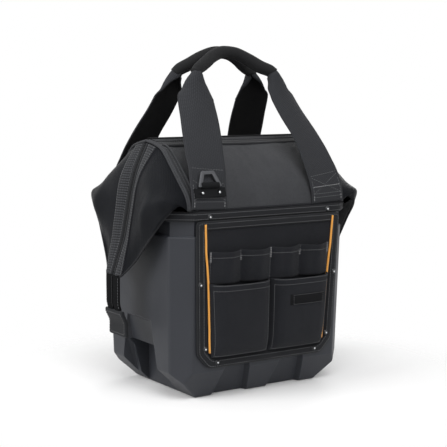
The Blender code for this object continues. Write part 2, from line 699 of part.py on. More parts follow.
def sleeve_mesh(name):
    """One wavy ribbon that makes four tool sleeves on the panel."""
    base = -GAP * 2 - PANEL_FIELD
    outer = [(SLEEVE_STOPS[0] - SLEEVE_HEM, base - SLEEVE_FABRIC), (SLEEVE_STOPS[0] + SLEEVE_HEM, base - SLEEVE_FABRIC)]
    inner = [(SLEEVE_STOPS[0] - SLEEVE_HEM, base), (SLEEVE_STOPS[0] + SLEEVE_HEM, base)]
    for left, right in zip(SLEEVE_STOPS, SLEEVE_STOPS[1:]):
        width = right - left
        for share, rise in SLEEVE_SHARES:
            x = left + width * share
            outer.append((x, base - SLEEVE_FABRIC - SLEEVE_BULGE * rise))
            toward = HALF_SHARE * 2 - SLEEVE_FABRIC * SLEEVE_PINCH / width
            inner.append((left + width / 2 + (x - left - width / 2) * toward, base - SLEEVE_BULGE * rise))
        for way in (-1, 1):
            outer.append((right + way * SLEEVE_HEM, base - SLEEVE_FABRIC))
            inner.append((right + way * SLEEVE_HEM, base))
    ring = outer + list(reversed(inner))
    return loft_mesh(name, [[(x, y, z) for x, y in ring] for z in (SLEEVE_BOTTOM, SLEEVE_TOP)])


def share_at(table, share):
    """Reads a table of share pairs between its rows."""
    for (low, first), (high, second) in zip(table, table[1:]):
        if share <= high:
            return first + (second - first) * (share - low) / (high - low)
    return table[-1][1]


def pocket_span(way, z):
    """Share of the pocket's height, with its centre and half width there."""
    up = (z - POCKET_BOTTOM) / (POCKET_TOP - POCKET_BOTTOM)
    centre = way * (POCKET_CENTRE_LOW + (POCKET_CENTRE_TOP - POCKET_CENTRE_LOW) * up)
    return up, centre, POCKET_HALF_LOW + (POCKET_HALF_TOP - POCKET_HALF_LOW) * up


def pocket_point(way, across, z, lift=0.0):
    """A point on the outside of a lower pocket, lifted outward."""
    up, centre, half = pocket_span(way, z)
    rise = share_at(POCKET_ACROSS_SHARES, min(across, 1.0 - across)) * share_at(POCKET_UP_SHARES, up) * POCKET_BULGE
    base = GAP * 2 + PANEL_FIELD + POCKET_FABRIC
    return (centre + half * (across * 2 - 1.0), -base - rise - lift, z)


def pocket_rows(way):
    across = [share for share, rise in POCKET_ACROSS_SHARES]
    across += [1.0 - share for share in reversed(across[:-1])]
    rows = []
    for share, rise in POCKET_UP_SHARES:
        z = POCKET_BOTTOM + (POCKET_TOP - POCKET_HEM - POCKET_BOTTOM) * share
        rows.append([pocket_point(way, step, z) for step in across])
    for z in (POCKET_TOP - POCKET_HEM + HAIR, POCKET_TOP):
        rows.append([pocket_point(way, step, z, POCKET_HEM_PROUD) for step in across])
    return rows


def label_rows():
    rows = []
    for z in (LABEL_CENTRE[1] - LABEL_HEIGHT / 2, LABEL_CENTRE[1] + LABEL_HEIGHT / 2):
        centre, half = pocket_span(1, z)[1:]
        across = [LABEL_CENTRE[0] - LABEL_HALF + LABEL_HALF * 2 * step / LABEL_STEPS for step in range(LABEL_STEPS + 1)]
        row = []
        for x in across:
            share = (x - centre + half) / (half * 2)
            spot = pocket_point(1, share, z, LABEL + GAP)
            row.append((x, spot[1], z))
        rows.append(row)
    return rows


def rivet(name, x, z, seat, parent, inner):
    """A domed rivet through the wall, head outside and upset tail inside."""
    profile = [
        (0.0, -seat - GAP - HEAD_HEIGHT), (HEAD_RADIUS * HEAD_SHARES[0], -seat - GAP - HEAD_HEIGHT * HEAD_SHARES[1]),
        (HEAD_RADIUS, -seat - GAP), (SHANK_RADIUS, -seat - GAP), (SHANK_RADIUS, inner + GAP),
        (TAIL_RADIUS, inner + GAP), (TAIL_RADIUS, inner + GAP + TAIL_HEIGHT), (0.0, inner + GAP + TAIL_HEIGHT),
    ]
    holder = empty(name + "_axis", (x, 0.0, z), (0.0, 0.0, 0.0), parent)
    return turned(name, profile, STEEL_DARK, holder, RIVET_STEPS)


def hole_mesh(name, spots):
    """Clearance holes for the rivets of one face."""
    data = bpy.data.meshes.new(name)
    work = bmesh.new()
    for x, z in spots:
        turn = Matrix.Translation((x, 0.0, z)) @ Matrix.Rotation(math.radians(90), 4, "X")
        bmesh.ops.create_cone(
            work, cap_ends=True, segments=RIVET_STEPS, radius1=HOLE_RADIUS, radius2=HOLE_RADIUS,
            depth=HOLE_DEPTH, matrix=turn
        )
    work.to_mesh(data)
    work.free()
    return data


def face_items(face, side, turn):
    """Everything that is fixed to one long wall."""
    lean = LEDGE_HEIGHT * math.tan(SIDE_DRAFT)
    frame = empty(face + "_face", (0.0, side * (SHELL_DEPTH / 2 - lean), 0.0), (SIDE_DRAFT, 0.0, turn))
    hands = ((-side, "right"), (side, "left"))
    spots = [(way * x, z) for x, z in PANEL_RIVETS + (BAND_RIVET,) for way in (-1, 1)]
    holes = place(face + "_holes", hole_mesh(face + "_holes", spots), None, frame)
    boolean(base_shell, "DIFFERENCE", holes)
    panel = place(face + "_pocket_panel", panel_mesh(face + "_pocket_panel"), FABRIC_BLACK, frame)
    boolean(panel, "DIFFERENCE", holes)
    place(face + "_tool_sleeves", sleeve_mesh(face + "_tool_sleeves"), FABRIC_BLACK, frame)
    for way, hand in hands:
        pocket = f"{face}_{hand}_pocket"
        sheet(pocket, pocket_rows(way), POCKET_FABRIC, FABRIC_BLACK, (0.0, -1.0, 0.0), frame)
        line = [(way * x, -GAP * 2 - PANEL_FIELD - PIPING_RADIUS, z) for x, z in piping_line()]
        tube(f"{face}_{hand}_piping", line, PIPING_RADIUS, PIPING_GOLD, frame)
        for (x, z), spot in zip(PANEL_RIVETS, ("upper", "side", "lower")):
            seat = GAP + PANEL_FIELD + PANEL_BINDING
            rivet(f"{face}_{hand}_{spot}_rivet", way * x, z, seat, frame, WALL)
        x, z = BAND_RIVET
        rivet(f"{face}_{hand}_band_rivet", way * x, z, BAND_PROUD, frame, COLLAR_INSET + WALL)
    return frame, holes


front_frame, front_holes = face_items("front", -1, 0.0)
back_frame, back_holes = face_items("back", 1, math.pi)
for holes in (front_holes, back_holes):
    boolean(rim_band, "DIFFERENCE", holes)
sheet("front_label", label_rows(), LABEL, LABEL_DARK, (0.0, -1.0, 0.0), front_frame)

# Mouth halves


def roof_point(x, row, side, outward=0.0):
    """A point on the roof skin, moved outward along the profile."""
    blend = 1.0 - min(abs(x) / ROOF_HALF, 1.0) ** ROOF_BULGE_POWER
    points = []
    for step in (max(row - 1, 0), row, min(row + 1, len(ROOF_MID_SHARES) - 1)):
        depth = ROOF_END_SHARES[step][0] + (ROOF_MID_SHARES[step][0] - ROOF_END_SHARES[step][0]) * blend
        height = ROOF_END_SHARES[step][1] + (ROOF_MID_SHARES[step][1] - ROOF_END_SHARES[step][1]) * blend
        points.append(Vector((depth * ROOF_DEPTH, ROOF_FOOT + height * (ROOF_TOP - ROOF_FOOT))))
    along = (points[2] - points[0]).normalized()
    spot = points[1] + Vector((along.y, -along.x)) * outward
    return (x, side * spot.x, spot.y)


def mouth_items(face, side):
    """Roof, stay rod and zip half that swing together about the rim."""
    roof_rows = [[roof_point(ROOF_HALF * share, row, side) for share in ROOF_COLUMN_SHARES] for row in range(len(ROOF_MID_SHARES))]
    hinge = empty(face + "_mouth", (0.0, side * MOUTH_AXIS[0], MOUTH_AXIS[1]))
    roof = sheet(face + "_roof", roof_rows, FABRIC, FABRIC_BLACK, (0.0, side, 1.0), hinge)
    roof.matrix_parent_inverse = Matrix.Translation((0.0, -side * MOUTH_AXIS[0], -MOUTH_AXIS[1]))
    inset = -FABRIC - GAP * 2 - ROD_RADIUS
    last = len(ROOF_MID_SHARES) - 1
    leg = []
    for row in range(1, last):
        x, y, z = roof_point(ROOF_HALF, row, side, inset)
        leg.append((ROD_HALF, y, z))
    top = leg[-1]
    path = leg[:-1] + [(ROD_HALF - ROD_CORNER, top[1], top[2])]
    path += [(-x, y, z) for x, y, z in reversed(path)]
    rod = tube(face + "_mouth_frame", path, ROD_RADIUS, STEEL_PLAIN, hinge)
    rod.matrix_parent_inverse = roof.matrix_parent_inverse
    rings = []
    for share in ROOF_COLUMN_SHARES:
        x = share * ZIP_HALF
        low = [roof_point(x, row, side, GAP * 2) for row in (last - 2, last - 1, last)]
        high = [roof_point(x, row, side, GAP * 2 + ZIP_TAPE) for row in (last - 2, last - 1, last)]
        inner = low[-1]
        crest = inner[2] + ZIP_COIL_HEIGHT
        edge = side * (abs(inner[1]) + ZIP_COIL_WIDTH)
        rings.append(low + [(x, inner[1], crest), (x, edge, crest), (x, edge, high[-1][2])] + [high[1], high[0]])
    zip_half = place(face + "_zip_half", loft_mesh(face + "_zip_half", rings), TAB_RUBBER, hinge)
    zip_half.matrix_parent_inverse = roof.matrix_parent_inverse
    return hinge


front_mouth = mouth_items("front", -1)
back_mouth = mouth_items("back", 1)

# Wing gussets


def on_path(path, share):
    """A point at a share of a path's length."""
    spots = [Vector(point) for point in path]
    spans = [(after - before).length for before, after in zip(spots, spots[1:])]
    target = share * sum(spans)
    for before, after, span in zip(spots, spots[1:], spans):
        if target <= span + MERGE:
            return before.lerp(after, target / span)
        target -= span
    return spots[-1]


def wing_point(u, v, seam, fold, line):
    """A point of the flat patch between seam, fold edge, ear edge and zip line."""
    start = on_path(seam, u)
    rim = on_path(fold, u)
    low = seam[0].lerp(fold[0], v)
    high = on_path(line, v)
    corners = seam[0] * ((1 - u) * (1 - v)) + seam[-1] * (u * (1 - v)) + fold[0] * ((1 - u) * v) + fold[-1] * (u * v)
    return start * (1 - v) + rim * v + low * (1 - u) + high * u - corners


def wing_rows(way, side):
    """Columns of a quarter gusset, each from the seam out over the puff, round the fold and in to the band."""
    seam = []
    for depth, height in ROOF_END_SHARES:
        z = max(ROOF_FOOT + height * (ROOF_TOP - ROOF_FOOT), SEAM_FOOT)
        seam.append(Vector((WING_START, max(depth * ROOF_DEPTH, HAIR), z)))
    fold = [Vector(point) for point in WING_FOLD] + [Vector((WING_ZIP[-1][0], HAIR, WING_ZIP[-1][1]))]
    line = [seam[-1]] + [Vector((x, HAIR, z)) for x, z in WING_ZIP]
    rows = []
    for u in WING_CUT_SHARES:
        row = []
        swell = math.sin(math.pi * min(u / WING_FLAT_SHARE, 1.0)) ** HALF_SHARE if u < WING_FLAT_SHARE else 0.0
        for v in WING_OUT_SHARES:
            lift = WING_PUFF * swell * math.sin(math.pi * v)
            ear = WING_EAR * math.sin(math.pi * min(u / WING_EAR_SHARE, 1.0)) * abs(math.sin(math.pi * v ** WING_EAR_SKEW))
            row.append(wing_point(u, v, seam, fold, line) + Vector(WING_OUTWARD) * lift + Vector(WING_EAR_OUTWARD) * ear)
        inner = Vector((WING_RETURN[0], max(WING_RETURN[1] * (1 - u), HAIR), WING_RETURN[2]))
        turn = row[-1] + Vector((-WING_FOLD_ROUND, 0.0, -WING_FOLD_ROUND * (1 - u)))
        middle = turn.lerp(inner, HALF_SHARE) - Vector((WING_RETURN_BULGE * math.sin(u * math.pi / 2), 0.0, 0.0))
        row += [turn, middle, inner]
        rows.append([(way * x, side * y, z) for x, y, z in row])
    return rows


for way, hand in ((-1, "left"), (1, "right")):
    for side, face in ((-1, "front"), (1, "back")):
        sheet(f"{face}_{hand}_gusset", wing_rows(way, side), GUSSET, FABRIC_BLACK, (way, 0.0, HALF_SHARE))

# Zip tails with their end tabs


def tail_items(hand, way):
    """A hanging tail and the tab that closes its end, about their fold under the wing."""
    hinge = empty(hand + "_tail", (way * TAIL_X, 0.0, TAIL_TOP))
    half = TAIL_THICK / 2
    place(hand + "_zip_tail", block_mesh(
        hand + "_zip_tail", (-half, -TAIL_HALF, TAIL_BOTTOM - TAIL_TOP), (half, TAIL_HALF, 0.0)
    ), WEBBING_GREY, hinge)
    tab = place(hand + "_end_tab", block_mesh(
        hand + "_end_tab", (-TAB_THICK / 2, -TAB_HALF, TAB_BOTTOM - TAIL_TOP), (TAB_THICK / 2, TAB_HALF, TAB_TOP - TAIL_TOP)
    ), TAB_RUBBER, hinge)
    bevel(tab, TAB_ROUND)
    slot = place(hand + "_tab_slot", block_mesh(
        hand + "_tab_slot", (-half - GAP, -TAIL_HALF - GAP, TAIL_BOTTOM - TAIL_TOP - GAP), (half + GAP, TAIL_HALF + GAP, OVERRUN)
    ), None, hinge)
    boolean(tab, "DIFFERENCE", slot)


tail_items("left", -1)
tail_items("right", 1)

# Zip slider and pull, on the right wing


def rod_mesh(name, radius, half, at, sides):
    """A round bar along Y through a point."""
    ring = [math.tau * (side + HALF_SHARE) / sides for side in range(sides)]
    rings = []
    for y in (-half, half):
        rings.append([(at[0] + radius * math.cos(turn), at[1] + y, at[2] + radius * math.sin(turn)) for turn in ring])
    return loft_mesh(name, rings)


def join(item, name, data, parent):
    boolean(item, "UNION", place(name, data, None, parent))


slope = math.atan2(WING_ZIP[2][0] - WING_ZIP[0][0], WING_ZIP[0][1] - WING_ZIP[2][1])
slider_x = WING_ZIP[2][0] - (SLIDER_Z - WING_ZIP[2][1]) * math.tan(slope)
slider_frame = empty("slider_frame", (slider_x, 0.0, SLIDER_Z), (0.0, -slope, 0.0))
plate_top = SLIDER_LIFT + SLIDER_PLATE
plate_low = -GUSSET - SLIDER_LIFT
pin_at = plate_top + GAP + PULL_EYE
half_length = SLIDER_LENGTH / 2
zip_slider = place("zip_slider", block_mesh(
    "zip_slider", (SLIDER_LIFT, -SLIDER_HALF, -half_length), (plate_top, SLIDER_HALF, half_length)
), STEEL_DARK, slider_frame)
join(zip_slider, "slider_inner", block_mesh(
    "slider_inner", (plate_low - SLIDER_PLATE, -SLIDER_HALF, -half_length), (plate_low, SLIDER_HALF, half_length)
), slider_frame)
join(zip_slider, "slider_post", block_mesh(
    "slider_post", (plate_low - SLIDER_PLATE / 2, -SLIDER_POST, -half_length / 2), (SLIDER_LIFT + SLIDER_PLATE / 2, SLIDER_POST, half_length / 2)
), slider_frame)
for way, hand in ((-1, "front"), (1, "back")):
    ys = sorted((way * (SLIDER_HALF - SLIDER_LUG_WIDTH), way * (SLIDER_HALF - GAP)))
    join(zip_slider, hand + "_lug", block_mesh(
        hand + "_lug", (SLIDER_LIFT + SLIDER_PLATE / 2, ys[0], -PULL_EYE), (pin_at + PIN_RADIUS * 2, ys[1], PULL_EYE)
    ), slider_frame)
join(zip_slider, "slider_pin", rod_mesh("slider_pin", PIN_RADIUS, SLIDER_HALF - SLIDER_LUG_WIDTH / 2, (pin_at, 0.0, 0.0), 8), slider_frame)

pull_hinge = empty("pull_hinge", (pin_at, 0.0, 0.0), (0.0, 0.0, 0.0), slider_frame)
eye_half = SLIDER_HALF - SLIDER_LUG_WIDTH - GAP * 2
zip_pull = place("zip_pull", rod_mesh("zip_pull", PULL_EYE, eye_half, (0.0, 0.0, 0.0), 12), STEEL_DARK, pull_hinge)
join(zip_pull, "pull_plate", block_mesh(
    "pull_plate", (-PULL_THICK / 2, -eye_half, -PULL_LENGTH), (PULL_THICK / 2, eye_half, -PIN_RADIUS)
), pull_hinge)
boolean(zip_pull, "DIFFERENCE", place("pull_bore", rod_mesh("pull_bore", PULL_BORE, SLIDER_HALF, (0.0, 0.0, 0.0), 12), None, pull_hinge))

# Handles


def handle_items(face, side, ring_way, ring_hand):
    """Two straps, the grip that they enter, and one riveted ring tab."""
    hinge = empty(face + "_handle", (0.0, side * HANDLE_AXIS[0], HANDLE_AXIS[1]))
    home = Matrix.Translation((0.0, -side * HANDLE_AXIS[0], -HANDLE_AXIS[1]))
    widths = [STRAP_HALF * share for share in STRAP_WIDTH_SHARES]
    whole = [(x, side * y, z) for x, y, z in GRIP_PATH]
    whole += [(-x, y, z) for x, y, z in reversed(whole[:-1])]
    radii = [GRIP_RADIUS * share for share in GRIP_SHARES + tuple(reversed(GRIP_SHARES[:-1]))]
    grip = place(face + "_grip", loft_mesh(face + "_grip", swept_rings(whole, radii, radii, GRIP_SIDES)), TAB_RUBBER, hinge)
    grip.matrix_parent_inverse = home
    for way, hand in ((-1, "left"), (1, "right")):
        path = [(way * x, side * y, z) for x, y, z in STRAP_PATH]
        turns = [-way * side * STRAP_TWIST * share for share in STRAP_TWIST_SHARES]
        rings = flat_rings(path, widths, STRAP_THICK, turns)
        strap = place(f"{face}_{hand}_strap", loft_mesh(f"{face}_{hand}_strap", rings), WEBBING_GREY, hinge)
        strap.matrix_parent_inverse = home
        ending = Vector(path[-1]) + (Vector(path[-1]) - Vector(path[-2])).normalized() * GAP
        rings = flat_rings(path[:-1] + [tuple(ending)], widths, STRAP_THICK, turns, GAP * 2)[-SOCKET_ROWS:]
        socket = place(f"{face}_{hand}_socket", loft_mesh(f"{face}_{hand}_socket", rings), None, hinge)
        socket.matrix_parent_inverse = home
        boolean(grip, "DIFFERENCE", socket)
    buckle = STRAP_PATH[BUCKLE_STEPS]
    place_at = (ring_way * buckle[0], side * (buckle[1] - HANDLE_AXIS[0]), buckle[2] - HANDLE_AXIS[1])
    spin = 0.0 if side < 0 else math.pi
    frame = empty(face + "_buckle", place_at, (-BUCKLE_LEAN, 0.0, spin), hinge)
    near = -STRAP_THICK - HAIR
    far = near - RING_TAB_THICK
    axis = (near - BARREL_RADIUS, BARREL_RISE)
    tab = place(f"{face}_ring_tab", block_mesh(
        f"{face}_ring_tab", (-RING_TAB_HALF, far, -RING_TAB_LOW), (RING_TAB_HALF, near, RING_TAB_HIGH)
    ), STEEL_DARK, frame)
    join(tab, face + "_tab_neck", block_mesh(
        face + "_tab_neck", (-BARREL_HALF, far, 0.0), (BARREL_HALF, near, BARREL_RISE)
    ), frame)
    for name, radius, half in (("barrel", BARREL_RADIUS, BARREL_HALF), ("bore", RING_BORE, RING_TAB_HALF)):
        ring = [math.tau * (step + HALF_SHARE) / GRIP_SIDES for step in range(GRIP_SIDES)]
        rings = [[(x, axis[0] + radius * math.cos(turn), axis[1] + radius * math.sin(turn)) for turn in ring] for x in (-half, half)]
        tool = place(f"{face}_{name}", loft_mesh(f"{face}_{name}", rings), None, frame)
        boolean(tab, "UNION" if name == "barrel" else "DIFFERENCE", tool)
    for way, hand in ((-1, "left"), (1, "right")):
        turn = [math.tau * step / RIVET_STEPS for step in range(RIVET_STEPS)]
        rings = []
        for radius, y in ((HEAD_RADIUS, far + HAIR), (HEAD_RADIUS, far), (HEAD_RADIUS * HEAD_SHARES[0], far - HEAD_HEIGHT)):
            rings.append([(way * TAB_RIVET_HALF + radius * math.cos(a), y, radius * math.sin(a) - GAP) for a in turn])
        join(tab, f"{face}_{hand}_tab_head", loft_mesh(f"{face}_{hand}_tab_head", rings), frame)
    corners = [(-RING_HALF_LOW, 0.0), (RING_HALF_LOW, 0.0), (RING_HALF_HIGH, RING_HEIGHT), (-RING_HALF_HIGH, RING_HEIGHT)]
    path = []
    for index, corner in enumerate(corners):
        spot = Vector(corner)
        before = (Vector(corners[index - 1]) - spot).normalized() * RING_CORNER
        after = (Vector(corners[(index + 1) % len(corners)]) - spot).normalized() * RING_CORNER
        for share in RING_CORNER_SHARES:
            bend = spot + before * (1 - share) ** 2 + after * share ** 2
            path.append((bend.x, axis[0], axis[1] + bend.y))
    tube(f"{face}_ring", path, RING_ROD, STEEL_DARK, frame, True, 2)


handle_items("front", -1, -1, "left")
handle_items("back", 1, 1, "right")

bpy.context.view_layer.update()
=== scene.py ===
"""Looks of the wide-mouth tool bag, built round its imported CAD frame."""

import math
from functools import partial

import bmesh
import bpy
from mathutils import Matrix, Vector, noise
from mathutils.bvhtree import BVHTree


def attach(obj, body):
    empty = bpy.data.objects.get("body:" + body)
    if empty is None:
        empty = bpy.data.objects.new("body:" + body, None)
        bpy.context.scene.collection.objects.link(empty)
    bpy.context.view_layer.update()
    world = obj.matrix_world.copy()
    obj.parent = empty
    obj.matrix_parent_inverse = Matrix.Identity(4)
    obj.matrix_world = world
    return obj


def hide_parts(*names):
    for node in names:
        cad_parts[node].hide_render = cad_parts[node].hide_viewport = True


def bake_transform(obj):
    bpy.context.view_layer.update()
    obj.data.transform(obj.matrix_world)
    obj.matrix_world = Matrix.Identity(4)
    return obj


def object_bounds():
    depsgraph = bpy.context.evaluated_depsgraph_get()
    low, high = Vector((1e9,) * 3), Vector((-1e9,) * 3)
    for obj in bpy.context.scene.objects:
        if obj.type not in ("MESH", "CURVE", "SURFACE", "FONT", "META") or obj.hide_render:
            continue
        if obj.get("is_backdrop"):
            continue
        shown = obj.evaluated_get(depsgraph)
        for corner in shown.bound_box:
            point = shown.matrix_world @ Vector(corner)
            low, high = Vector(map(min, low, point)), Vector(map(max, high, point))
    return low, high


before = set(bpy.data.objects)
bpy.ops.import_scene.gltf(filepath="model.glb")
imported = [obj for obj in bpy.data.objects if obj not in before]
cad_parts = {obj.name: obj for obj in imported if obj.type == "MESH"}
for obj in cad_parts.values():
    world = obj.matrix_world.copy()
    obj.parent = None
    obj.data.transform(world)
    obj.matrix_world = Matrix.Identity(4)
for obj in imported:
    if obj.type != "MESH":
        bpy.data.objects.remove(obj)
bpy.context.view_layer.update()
scene = bpy.context.scene

SIDES = ((-1, "front"), (1, "back"))
HANDS = ((-1, "left"), (1, "right"))

# Sizes shared with the CAD part, in metres
SHELL_X = 0.1347
SHELL_Y = 0.1020
LEDGE_Z = 0.2094
CORNER = 0.0230
END_DRAFT = math.radians(1.1)
SIDE_DRAFT = math.radians(2.8)
CORNER_DRAFT = math.radians(2.15)
WALL_Y = SHELL_Y - LEDGE_Z * math.tan(SIDE_DRAFT)
ROOF_HALF = 0.1170
ROOF_FOOT = 0.2403
ROOF_TOP = 0.3230
ROOF_SPAN = 0.1038
ROOF_MID = [
    (1.0, 0.0), (0.98, 0.12), (0.94, 0.26), (0.875, 0.40), (0.77, 0.55),
    (0.61, 0.71), (0.46, 0.82), (0.33, 0.905), (0.16, 0.965), (0.008, 1.0),
]
ROOF_END = [
    (0.975, 0.0), (0.955, 0.12), (0.90, 0.25), (0.80, 0.375), (0.68, 0.52),
    (0.56, 0.665), (0.45, 0.80), (0.34, 0.905), (0.17, 0.965), (0.008, 1.0),
]
WING_START = 0.1180
WING_ZIP = [(0.1180, 0.3232), (0.1360, 0.2820), (0.1498, 0.2180), (0.1536, 0.2000), (0.1625, 0.1740), (0.1695, 0.1530)]
WING_FOLD = [
    (0.1400, 0.0965, 0.2430), (0.1450, 0.0915, 0.2355), (0.1492, 0.0780, 0.2210), (0.1538, 0.0590, 0.1990),
    (0.1585, 0.0395, 0.1760), (0.1640, 0.0245, 0.1615), (0.1688, 0.0175, 0.1540), (0.1692, 0.0006, 0.1534),
]
WING_RETURN = Vector((0.1400, 0.0780, 0.2340))
STRAP_PATH = [
    (0.0916, 0.1048, 0.2425), (0.0912, 0.1048, 0.2520), (0.0906, 0.1025, 0.2630), (0.0893, 0.0978, 0.2760),
    (0.0866, 0.0918, 0.2910), (0.0840, 0.0820, 0.3100), (0.0794, 0.0690, 0.3320), (0.0738, 0.0540, 0.3560),
    (0.0696, 0.0410, 0.3765), (0.0662, 0.0355, 0.3865), (0.0640, 0.0305, 0.3960), (0.0615, 0.0278, 0.4030),
    (0.0590, 0.0260, 0.4080), (0.0565, 0.0247, 0.4108),
]
STRAP_HALF = 0.0250
STRAP_TWIST = math.radians(14.0)
SHOULDER_Z = 0.3800
GRIP_PATH = [
    (0.0620, 0.0256, 0.4098), (0.0556, 0.0235, 0.4145), (0.0430, 0.0190, 0.4205), (0.0280, 0.0135, 0.4295),
    (0.0130, 0.0100, 0.4360), (0.0000, 0.0088, 0.4374),
]
GRIP_RADIUS = 0.0078
GRIP_LEAN = 0.075
GRIP_SPAN = 0.0620

# Longest step along the tub's rings and the panel's binding
RING_STEP = 0.006
# Cloth thicknesses and seam radii
PANEL_THICK, SLEEVE_THICK, POCKET_THICK, ROOF_THICK, WING_THICK = 0.0022, 0.0015, 0.0018, 0.0016, 0.0011
LINING_THICK, HINGE_THICK, STRAP_THICK, TAIL_THICK = 0.0008, 0.0007, 0.0020, 0.0016
THIN_SEAM, WING_SEAM, GRIP_SEAM = 0.0013, 0.0017, 0.0010


def steps(count, low=0.0, high=1.0):
    """Values from low to high, a number of even steps apart."""
    return [low + (high - low) * k / count for k in range(count + 1)]


def run(points):
    """Lengths along a line of points, from 0 at its start."""
    lengths = [0.0]
    for a, b in zip(points, points[1:]):
        lengths.append(lengths[-1] + max((b - a).length, 1e-9))
    return lengths


def locate(lengths, want):
    """The stretch that holds a length along a line, and the share of that stretch."""
    i = 0
    while i < len(lengths) - 2 and want > lengths[i + 1]:
        i += 1
    return i, (want - lengths[i]) / (lengths[i + 1] - lengths[i])


def along_path(path, share):
    """The point at a share of a path's length."""
    lengths = run(path)
    i, t = locate(lengths, share * lengths[-1])
    return path[i].lerp(path[i + 1], t)


def heading(spots, i):
    """The direction of a line of points at one of them."""
    return (spots[min(i + 1, len(spots) - 1)] - spots[max(i - 1, 0)]).normalized()


def square(v, along):
    """A direction with its part along another one taken out."""
    return (v - along * v.dot(along)).normalized()


def spline(points, count):
    """Evenly shared points of a smooth curve through the given points."""
    knots = [Vector(p) for p in points]
    lengths = run(knots)
    made = []
    for want in steps(count - 1, 0.0, lengths[-1]):
        i, t = locate(lengths, want)
        span = lengths[i + 1] - lengths[i]
        p0, p1 = knots[max(i - 1, 0)], knots[i]
        p2, p3 = knots[i + 1], knots[min(i + 2, len(knots) - 1)]
        before = lengths[i] - lengths[i - 1] if i else span
        after = lengths[i + 2] - lengths[i + 1] if i + 2 < len(lengths) else span
        m1 = (p2 - p0) * (span / (span + before)) if i else p2 - p1
        m2 = (p3 - p1) * (span / (span + after)) if i + 2 < len(lengths) else p2 - p1
        a, b, c, d = 2 * t**3 - 3 * t**2 + 1, t**3 - 2 * t**2 + t, 3 * t**2 - 2 * t**3, t**3 - t**2
        made.append(p1 * a + m1 * b + p2 * c + m2 * d)
    return made


def table_at(table, share):
    """The value of a table of (share, value) rows at a place between them."""
    for (low, first), (high, second) in zip(table, table[1:]):
        if share <= high:
            return first + (second - first) * (share - low) / (high - low)
    return table[-1][1]


def clamp(t):
    return min(max(t, 0.0), 1.0)


def smooth(t):
    t = clamp(t)
    return t * t * (3 - 2 * t)


def arch(t):
    """Half a sine wave over 0 to 1."""
    return math.sin(math.pi * t)


def bell(t, middle, width):
    return math.exp(-((t - middle) / width) ** 2)


def mirror(p, way, side):
    return Vector((way * p.x, side * p.y, p.z))


def wobble(p, scale, seed=0.0):
    return noise.noise(Vector(p) * scale + Vector((seed, seed * 1.7, seed * 0.3)))


# Materials


def new_material(name, colour, rough, metal=0.0, gloss=0.5):
    made = bpy.data.materials.new(name)
    made.use_nodes = True
    shader = made.node_tree.nodes["Principled BSDF"]
    shader.inputs["Base Color"].default_value = (*colour, 1.0)
    shader.inputs["Roughness"].default_value = rough
    shader.inputs["Metallic"].default_value = metal
    shader.inputs["Specular IOR Level"].default_value = gloss
    return made, made.node_tree, shader


def new_node(tree, kind, inputs=None, operation=None):
    """A shader node, with its inputs given as values or as the sockets that feed them."""
    node = tree.nodes.new("ShaderNode" + kind)
    if operation:
        node.operation = operation
    for key, value in (inputs or {}).items():
        if isinstance(value, bpy.types.NodeSocket):
            tree.links.new(value, node.inputs[key])
        else:
            node.inputs[key].default_value = value
    return node


def calc(tree, operation, *values):
    return new_node(tree, "Math", dict(enumerate(values)), operation).outputs[0]


# Scale and detail of the noises: wear and mottling of cloth, slow mottling and uneven roughness of plastic
WEAR, MOTTLE, SLOW, UNEVEN = (18.0, 5.0), (420.0, 2.0), (9.0, 4.0), (30.0, 5.0)
ROUGH_SPREAD = 0.09
# Most an edge can be lightened in colour, a painted highlight
EDGE_HIGHLIGHT_MOST = 0.12


def noise_node(tree, vector, scale, detail):
    return new_node(tree, "TexNoise", {"Scale": scale, "Detail": detail, "Vector": vector}).outputs["Fac"]


def map_range(tree, value, low, high, clamped=True):
    node = new_node(tree, "MapRange", {"To Min": low, "To Max": high, "Value": value})
    node.clamp = clamped
    return node.outputs[0]


def bevel_normal(tree, radius, samples):
    node = new_node(tree, "Bevel", {"Radius": radius})
    node.samples = samples
    return node.outputs[0]


def tint(tree, shader, colour, factor, spread):
    """Multiplies a base colour between two levels by a factor socket."""
    level = map_range(tree, factor, *spread, clamped=False)
    mixer = new_node(tree, "VectorMath", {0: colour, "Scale": level}, "SCALE")
    tree.links.new(mixer.outputs[0], shader.inputs["Base Color"])


def bump(tree, shader, inputs):
    tree.links.new(new_node(tree, "Bump", inputs).outputs[0], shader.inputs["Normal"])


